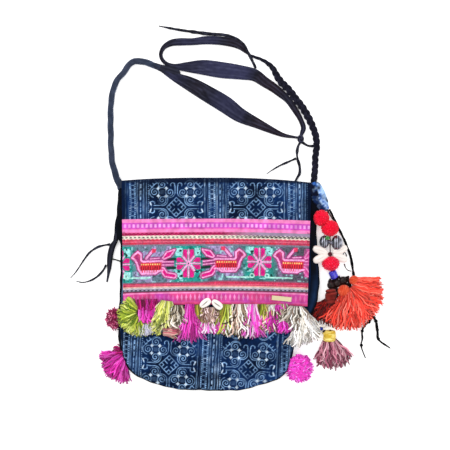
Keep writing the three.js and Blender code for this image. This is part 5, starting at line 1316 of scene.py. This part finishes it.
def twisted(route, count, thick, taper, colours, seed):
    """A twisted strip: a round section, creased as it turns, as thick as given times the taper, which
    is read from shares of the length and above 1 widens it only sideways."""
    sides = 10
    path = smooth_rows(route, count)
    run = np.linspace(0, run_of(path) / MM, count)[:, None]
    turn = ring_angles(sides)
    size = np.interp(run / run[-1], *taper)
    ragged = 1 + 0.12 * np.cos(2 * turn + run / 2.3) + 0.3 * (cloud(run, 0 * run, 5.0, seed) - 0.5)
    points = carried(path, thick / 2 * size * ragged * np.cos(turn),
                     thick / 2 * np.minimum(size, 1) * ragged * np.sin(turn))
    streak = np.clip(1.6 * cloud(run, 4 * turn, 3.0, seed + 1) - 0.7, 0, 1)
    dye = mixed(colours[0], (streak, colours[1]))
    return (points.reshape(-1, 3), closed_rings(count, sides), dye.reshape(-1, 3)), path


tail_points, _, _, tail_crest = gathered(SIDE_TAIL, 90, 24, 91)
# Painted highlight: the tail is paler on its fold crests
tail_dye = mixed(TIE_COTTON[0], (np.clip(2.0 * tail_crest + 0.25, 0, 1), TIE_COTTON[1]))
tail_shape = (tail_points, closed_rings(*tail_points.shape[:2]), tail_dye)
add_cord("side_tail_cloth", tail_shape, smooth_rows(SIDE_TAIL, 90)[:, :3], "tie_cord", strap_cotton,
         "side_tail")
thread_shape, _ = twisted(TAIL_THREAD, 24, TAIL_THREAD_WIDE, EVEN, THREAD_GREEN, 93)
add_piece("tail_thread_twist", *thread_shape, strap_cotton, "tie_cord")
for seed, (name, route) in enumerate(TIES.items()):
    taper = TIE_TAPERS.get(name, TAPER)
    shape, path = twisted(laid(route), 90, TIE, taper, TIE_COTTON, 95 + 2 * seed)
    if name == "tie_top":
        shape = joined(shape, wound_ball(*TOP_HITCH, 2, TIE_COTTON, 94, count=14))
    add_cord(name + "_twist", shape, path, "tie_cord", strap_cotton, name)

# Charm: roll and string
# A scrap of batik rolled into a stalk at the flap's right corner, and the dark string on which the
# charm's pieces are threaded, with the knot that ties in four shells.
ROLL_BLUE, ROLL_PALE, ROLL_DARK = "#2c5eb0", "#aecffa", "#0c1226"
CHARM_ROLL = [
    # columns as for the plaits
    (119.8, 130.6, 13.6, 7, 4), (120.8, 128, 13.4, 13.5, 7.4), (124.8, 119.5, 12.4, 17.5, 8.4),
    (128.8, 109.2, 8, 19, 8.6), (134.6, 101, 5.4, 14.5, 8.4), (139.2, 97, 4.7, 5, 4),
]
STRING = 1.6  # thickness
STRING_BROWN, LOOP_BROWN = ("#34181c", "#5a343a"), ("#180c0e", "#42242a")
KNOT_BROWN, KNOT_GREEN = ("#4a1c26", "#7a3a40"), ("#2c6c34", "#7cc078")
CHARM_STRING = [(138.8, 97.8, 5), (140, 84, 8.3), (140.8, 73, 8.3), (141.8, 62, 8.2), (141.9, 52, 7.2),
                (141.9, 41, 8), (141.9, 36, 8.2), (142.4, 27.5, 7.8), (143.4, 20, 6.6),
                (146.2, 14.8, 4.9), (148.9, 8.8, 4.7)]
STAR_KNOT, STAR_KNOT_RADIUS = (141.9, 41.0, 8.0), 2.8  # ties in the four shells
GREEN_KNOT = (138.2, 61.4, 12.0), (3.0, 2.2, 2.4)  # middle and radii
STRING_LOOPS = [
    # thickness and route: two loose ends beside the cord, a strand beside the first pompom, and the
    # turns that bind the lower beads together
    (1.3, [(160.6, 28.4, 1.0), (162.0, 24.0, 1.0), (165.4, 20.2, 1.0), (169.2, 19.3, 1.0)]),
    (1.3, [(163.5, 37.9, 1.0), (162.4, 41.2, 1.0), (160.6, 43.1, 1.0), (158.7, 39.4, 1.0)]),
    (1.8, [(138.6, 97.4, 6.0), (141.6, 91.0, 5.0), (145.4, 85.4, 3.4), (150.0, 79.6, 2.2)]),
    (4.4, [(163.6, 13.0, 3.0), (165.4, 7.0, 3.0), (167.4, 1.6, 3.0), (168.0, -3.0, 3.0)]),
    (4.8, [(154.0, 0.6, 3.4), (158.0, 2.0, 3.4), (162.0, 2.6, 3.4), (166.0, 2.2, 3.4)]),
    (4.8, [(140.6, 8.0, 3.4), (144.2, 6.4, 3.4), (149.0, 9.6, 3.4), (155.0, 12.4, 3.4)]),
    (5.0, [(147.0, -1.0, 4.0), (150.4, -3.4, 4.0), (150.8, -9.0, 4.0), (149.6, -14.0, 4.0)]),
]
LOOP_TAPER = ([0, 1], [1, 0.7])
roll_points, roll_off, roll_run, _ = gathered(CHARM_ROLL, 80, 40, 111, fold=0.1)
roll_patch, roll_fleck = cloud(roll_run, roll_off * 1.2, 4.5, 112), cloud(roll_run, roll_off, 2.0, 113)
roll_shadow = np.clip(3 * (roll_patch - 0.5), 0, 0.9) + np.clip((0.5 - roll_off) / 3, 0, 0.85)
# Painted light and shade: the lit upper right side is pale, the left side and some patches dark, over
# pale flecks of resist
roll_dye = mixed(ROLL_BLUE, (np.clip(2.4 * (roll_fleck - 0.45), 0, 1), ROLL_PALE),
                 (np.clip((roll_off - 2.5) / 3, 0, 0.8), ROLL_PALE), (roll_shadow, ROLL_DARK))
add_rings("charm_roll_batik", roll_points, roll_dye, batik_cloth, "charm_cloth", "charm_roll")
string_shape, _ = twisted(CHARM_STRING, 110, STRING, EVEN, STRING_BROWN, 115)
star_knot = wound_ball(STAR_KNOT, [STAR_KNOT_RADIUS] * 3, 5, KNOT_BROWN, 117)
green_knot = wound_ball(*GREEN_KNOT, 4, KNOT_GREEN, 118)
loops = [twisted(route, 24, thick, LOOP_TAPER, LOOP_BROWN, 119)[0]
         for thick, route in STRING_LOOPS]
add_piece("charm_string_twist", *joined(string_shape, star_knot, green_knot, *loops), wool, "tie_cord",
          "charm_string")

# Charm: pompoms
# Three pompoms of bright red wool, clipped round, one sewn to the bag and two on the string.
POMPOM_RED = ["#f80c34", "#ff1c40", "#ee0a30", "#ff3856"]
FADED_RED = ["#f82450", "#ff3c64", "#ee1c48", "#ff6082"]
POMPOM_CORE = ("#e40c2e", "#f2163e")
TUFTS, TUFT = 760, 0.52  # threads in a pompom, and their radius
POMPOMS = [
    # name, middle, radii, colours
    ("pompom_1", (130.6, 86.2, 10.0), (10.2, 10.4, 9.6), POMPOM_RED),
    ("pompom_2", (141.4, 73.6, 10.1), (11.2, 10.4, 9.7), POMPOM_RED),
    ("pompom_3", (142.3, 29.2, 8.8), (11.2, 9.2, 8.4), FADED_RED),
]
for seed, (name, middle, radii, reds) in enumerate(POMPOMS):
    ball = pompom(middle, radii, TUFTS, TUFT, reds, POMPOM_CORE, 120 + 2 * seed, heart=0.93)
    add_piece(name + "_wool", *ball, wool, "red_wool", name)

# Charm: bells and shells
# Two long bells of dull white metal, chased with dark lines and tied to the string by their shanks,
# over four cowries that are tied by their ends into one knot, with their smooth backs upwards.
BELL_SILVER, BELL_DARK = "#a8aab8", "#050508"
BELL_TALL = 1.35  # length of a bell over its width
BELLS = [
    # name, x, y, radius, length of the shank, side of the string
    ("bell_left", 134.6, 56.4, 6.3, 1.2, 1.0), ("bell_right", 150.4, 55.4, 7.2, 1.0, -1.0),
]
CHARM_SHELL = (20.0, 10.0, 7.8)  # length, width, height
SHELL_INNER = 3.2  # from the knot to a shell's end
# a pinkish grey laid over the charm shells' colour: painted shade
SHELL_SHADED_TINT = "#f4eef0"
CHARM_SHELLS = [
    # name, turn in degrees, height of the middle
    ("charm_shell_1", 160.0, 9.8), ("charm_shell_2", 203.0, 9.8), ("charm_shell_3", 22.0, 6.2),
    ("charm_shell_4", -20.0, 6.2),
]


def bell(x, y, radius, shank, side):
    """A bell and its shank as one turned form: an egg with chased grooves and petals, then a short
    neck towards the string."""
    polar = np.concatenate([np.linspace(0.03, np.pi - 0.26, 52), [0, 0]])
    girth, along = radius * np.sin(polar), -radius * np.cos(polar)
    girth[-2:], along[-2:] = (radius / 4, radius / 5), (radius + 0.6 * shank, radius + shank)
    round_ = ring_angles(48)
    place = along[:, None] / radius
    rings = hump(np.abs(place), 0.2, 0.13) + hump(place, 0.66, 0.14)
    petals = hump(place, -0.6, 0.22) * (0.5 + 0.5 * np.cos(6 * round_))
    cut = np.clip(rings + petals, 0, 1)
    girth = girth[:, None] * (1 - 0.06 * cut)
    px = x + side * along[:, None]
    py = y - side * BELL_TALL * girth * np.cos(round_)
    pz = FLOOR_GAP + radius + girth * np.sin(round_)
    points = np.stack(np.broadcast_arrays(px, py, pz), -1)
    return points, mixed(BELL_SILVER, (0.95 * cut, BELL_DARK))


# Cast white metal, chased: bright on the swell and black in the cuts
bell_metal = polished("White bell metal, chased", roughness=0.24, metallic=0.9, grain=0.8, relief=0.1)
for name, x, y, radius, shank, side in BELLS:
    points, dye = bell(x, y, radius, shank, side)
    add_rings(name + "_chased", points, dye, bell_metal, "bell_metal", name)
for name, turn, z in CHARM_SHELLS:
    reach, way = SHELL_INNER + CHARM_SHELL[0] / 2, np.radians(turn)
    seat = (STAR_KNOT[0] + reach * np.cos(way), STAR_KNOT[1] + reach * np.sin(way), z)
    points, dye = cowrie(CHARM_SHELL, seat, turn, gape=0.2)
    add_rings(name + "_glazed", points, dye * linear(SHELL_SHADED_TINT), shell_glaze, "cowrie", name)

# Charm: beads
# A drawn blue glass bead under the last pompom, three dark seed-pod beads that touch, and two balls
# wound with orange thread beside the tassels.
GLASS_BLUE, POD_DARK = ("#160e98", "#3028d4"), ("#0e0706", "#2c1718")
BALL_ORANGE = ("#cc4024", "#ea6c4a")
BLUE_BEAD = (146.0, 15.2, 5.3), (5.2, 5.3, 4.8)  # middle and radii
BLUE_WAY, POD_WAY = (0.46, -1.0, -0.2), (1.0, 0.4, 0.0)  # along which the beads are threaded
DARK_BEADS = [(143.6, 1.8), (151.4, 4.2), (158.8, 7.8)]
POD_LEVEL, POD = 4.75, (5.2, 5.2, 4.6)  # height of a dark bead's middle, and its radii
ORANGE_BEADS = [
    # name, middle, radius, way of the winding
    ("orange_bead_1", (171.6, 8.2, 9.2), 6.0, (0.3, -1.0, 0.0)),
    ("orange_bead_2", (159.2, -5.2, 8.4), 7.8, (1.0, 0.0, 0.0)),
]
# Drawn glass: smooth and deep in colour, with one sharp highlight
blue_glass = polished("Blue drawn glass", roughness=0.12, coat=0.6, grain=2.0, relief=0.05)
# Seed pods polished by wear: nearly black, with a dull gleam
pod_shine = polished("Dark seed pod, polished", roughness=0.4, grain=1.2, relief=0.2, gloss=0.2)
blue_bead = wound_ball(*BLUE_BEAD, 0, GLASS_BLUE, 131, BLUE_WAY, squareness=0.4)
add_piece("blue_bead_glass", *blue_bead, blue_glass, "blue_glass", "blue_bead")
pods = [wound_ball((x, y, POD_LEVEL), POD, 2, POD_DARK, 132 + seed, POD_WAY)
        for seed, (x, y) in enumerate(DARK_BEADS)]
add_piece("dark_beads_pods", *joined(*pods), pod_shine, "dark_bead", "dark_beads")
for name, middle, radius, way in ORANGE_BEADS:
    ball = wound_ball(middle, [radius] * 3, 11, BALL_ORANGE, 136, way)
    add_piece(name + "_wound", *ball, wool, "orange_bead", name)

# Charm: rust and orange tassels
# A rust-brown tassel with a thickly wound neck, and beside it a large orange one of soft wool, which
# opens from between two beads and spreads downwards and to the right.
RUST, RUST_WRAP = ["#6a0c0c", "#861412", "#4e0809", "#9a1e18"], ("#641814", "#8c302a")
ORANGE = ["#ff5e4e", "#f84c3c", "#ff8272", "#ee4434", "#ff6c5a", "#d0382c"]
DOWN = (0.0, -1.0, 0.0)
RUST_NECK = (143.2, -12.6, 7.0), (7.2, 10.0, 6.4)  # middle and radii
RUST_SPREAD = 142.0, -18.0, -20, 34, (32, 34), 13, 12  # from x to depth, as for the fringe
ORANGE_DEPTH = 15
ORANGE_PARTS = [
    # x, y, turn, fan, length at the left and right, width at its start, threads, curl, straying
    (170.5, 3.0, 76, 10, (40, 37), 18, 210, 1.6, 0.05),
    (167.5, -1.5, 46, 26, (49, 44), 12, 230, 3.4, 0.1),
    (166.0, -3.0, 1, 26, (55, 50), 12, 280, 3.4, 0.12),
]


def over_rust(x, y):
    """Height of what the orange tassel lies on: the cord at the right, the rust tassel at the left."""
    return 2.8 + 5 * np.clip((156 - x) / 8, 0, 1)


rust_neck = wound_ball(*RUST_NECK, 4, RUST_WRAP, 150, DOWN, squareness=0.5, groove=0.09)
rust = tassel(*RUST_SPREAD, on_floor, 200, 1.4, RUST, 151)
add_piece("rust_tassel_yarn", *joined(rust, rust_neck), wool, "rust_yarn", "rust_tassel")
orange_parts = [tassel(*shape, ORANGE_DEPTH, over_rust, threads, curl, ORANGE, 153 + seed, droop=0.3,
                       stray=stray, trim=0.1, shade=0.8)
                for seed, (*shape, threads, curl, stray) in enumerate(ORANGE_PARTS)]
add_piece("orange_tassel_yarn", *joined(*orange_parts), wool, "orange_yarn", "orange_tassel")

# Charm: yellow wrap and mauve tassel
# The lowest tassel, of mauve and pale pink yarn, hangs from a neck that is wound with yellow thread,
# with three small beads over it.
YELLOW = ("#d0ac38", "#f4e68e")
MAUVE = ["#8c4058", "#a85c74", "#cc8698", "#743448", "#e0acb8"]
BEAD_BLUE, BEAD_BROWN = ("#1c2a80", "#3848b8"), ("#1e1010", "#4a2a20")
YELLOW_NECK = (141.0, -61.6, 7.3), (7.9, 7.3, 7.0)  # middle and radii
SMALL_BEADS = [((131.4, -53.0, 5.6), BEAD_BLUE), ((134.6, -55.8, 8.8), BEAD_BROWN),
               ((141.8, -55.4, 10.6), BEAD_BROWN)]
SMALL_BEAD = (2.1, 2.1, 2.1)
MAUVE_SPREAD = 141.0, -66.5, 10, 25, (37, 43), 15, 14  # from x to depth, as for the fringe
wrap = wound_ball(*YELLOW_NECK, 9, YELLOW, 161, DOWN, squareness=0.4, count=70)
beads = [wound_ball(middle, SMALL_BEAD, 0, colours, 164, count=14) for middle, colours in SMALL_BEADS]
add_piece("yellow_wrap_thread", *joined(wrap, *beads), wool, "yellow_wrap", "yellow_bead")
mauve = tassel(*MAUVE_SPREAD, on_floor, 230, 2.6, MAUVE, 163, yarn=1.0, droop=0.7, taper=0.26)
add_piece("mauve_tassel_yarn", *mauve, wool, "mauve_yarn", "mauve_tassel")

# Charm: black cord
# A waxed black cord that runs down beside the charm and under the orange tassel, with knots near its
# two loose ends.
CORD_BLACK = ("#050507", "#121216")
CORD_TAPER = ([0, 0.15, 0.35, 0.8, 1], [1.2, 1.3, 1.5, 1.1, 0.6])
BLACK_CORDS = {
    "charm_black_cord": [(142.8, 95.2), (147.5, 85.6), (155, 70), (161.3, 56.9), (168.4, 37.5),
                         (171.9, 16.5), (174, 4), (182, -14), (193, -32), (193.4, -42),
                         (185.4, -50), (182.9, -57), (183.2, -66), (181.6, -74), (187, -90.4)],
    "charm_black_cord_end": [(196, -37), (200.4, -44), (201.5, -51), (202.4, -58), (203.4, -66.5),
                             (218.6, -78)],
}
CORD_KNOTS = {
    # places of the knots and their radius
    "charm_black_cord": [(142.1, 96.2, 1.4), (193.6, -39.0, 2.2), (191.4, -44.6, 2.3),
                         (185.6, -49.8, 2.0), (183.0, -56.0, 2.0), (181.8, -74.0, 2.1)],
    "charm_black_cord_end": [(197.6, -39.2, 2.2), (200.2, -43.6, 2.3), (202.0, -54.8, 2.1),
                             (203.3, -66.0, 2.1)],
}
CORD_KNOT_LEVEL, CORD_KNOT_HALF = 2.2, 1.9  # height of a knot's middle, and half its height
CORD_KNOT_WAY = (1.0, 0.6, 0.0)
# Waxed cotton cord: black, with a faint gleam along the twist
waxed_cord = polished("Waxed black cord", roughness=0.7, gloss=0.05, grain=0.7, relief=0.12)
for seed, (name, route) in enumerate(BLACK_CORDS.items()):
    cord_shape, path = twisted(laid(route), 150, TIE, CORD_TAPER, CORD_BLACK, 171 + 2 * seed)
    knots = [wound_ball((x, y, CORD_KNOT_LEVEL), (radius, radius, CORD_KNOT_HALF), 3, CORD_BLACK,
                        175 + seed, CORD_KNOT_WAY, groove=0.12, count=10)
             for x, y, radius in CORD_KNOTS[name]]
    add_cord(name + "_waxed", joined(cord_shape, *knots), path, "tie_cord", waxed_cord, name)

# Studio
# The bag lies on a white sweep of paper and is seen straight from above, in soft daylight from a
# large window light at the upper left and a white room round it.
PAPER, ROOM_WHITE = "#f8f8f8", "#ffffff"
FLOOR_HALF = 3.0  # metres, as are the places below
LIGHTS = [
    # name, place, aim, size, power in watts
    ("window_light", (-0.9, 1.1, 1.5), (0.0, 0.05, 0.0), 1.6, 24.0),
    ("bounce_light", (1.2, -0.8, 1.4), (0.0, 0.0, 0.0), 1.8, 12.0),
]
ROOM_STRENGTH = 0.8
CAMERA_AT, CAMERA_LENS, CAMERA_SENSOR = (0.010, 0.0775, 1.212), 76.8, 36.0
# Matt white paper that glows a little, so that hardly a shadow is left on it
paper = new_material("White paper sweep, glowing")
paper_face = add_node(paper, "ShaderNodeBsdfPrincipled",
                      {"Base Color": (*linear(PAPER), 1.0), "Roughness": 0.9, "Specular IOR Level": 0.1,
                       "Emission Color": (*linear(PAPER), 1.0), "Emission Strength": 0.4})
add_node(paper, "ShaderNodeOutputMaterial", {"Surface": paper_face.outputs[0]})
floor_corners = [(x * FLOOR_HALF, y * FLOOR_HALF, 0) for x, y in ((-1, -1), (1, -1), (1, 1), (-1, 1))]
floor_mesh = bpy.data.meshes.new("paper_floor")
floor_mesh.from_pydata(floor_corners, [], [(0, 1, 2, 3)])
floor_mesh.materials.append(paper)
floor = bpy.data.objects.new("paper_floor", floor_mesh)
bpy.context.scene.collection.objects.link(floor)


def add_light(name, place, aim, size, power):
    """Adds a square area light of that size in metres, turned towards a point."""
    lamp = bpy.data.lights.new(name, "AREA")
    lamp.size = size
    lamp.energy = power
    light = bpy.data.objects.new(name, lamp)
    light.location = place
    light.rotation_euler = (Vector(aim) - Vector(place)).to_track_quat("-Z", "Y").to_euler()
    bpy.context.scene.collection.objects.link(light)
    return light


window, bounce = (add_light(*light) for light in LIGHTS)
room = bpy.data.worlds.new("white_room")
room.use_nodes = True
room_light = room.node_tree.nodes["Background"]
room_light.inputs["Color"].default_value = (*linear(ROOM_WHITE), 1.0)
room_light.inputs["Strength"].default_value = ROOM_STRENGTH
bpy.context.scene.world = room
view = bpy.data.cameras.new("camera")
view.lens, view.sensor_width = CAMERA_LENS, CAMERA_SENSOR
camera = bpy.data.objects.new("camera", view)
camera.location = CAMERA_AT
bpy.context.scene.collection.objects.link(camera)
bpy.context.scene.camera = camera
bpy.context.scene.view_settings.view_transform = "Standard"
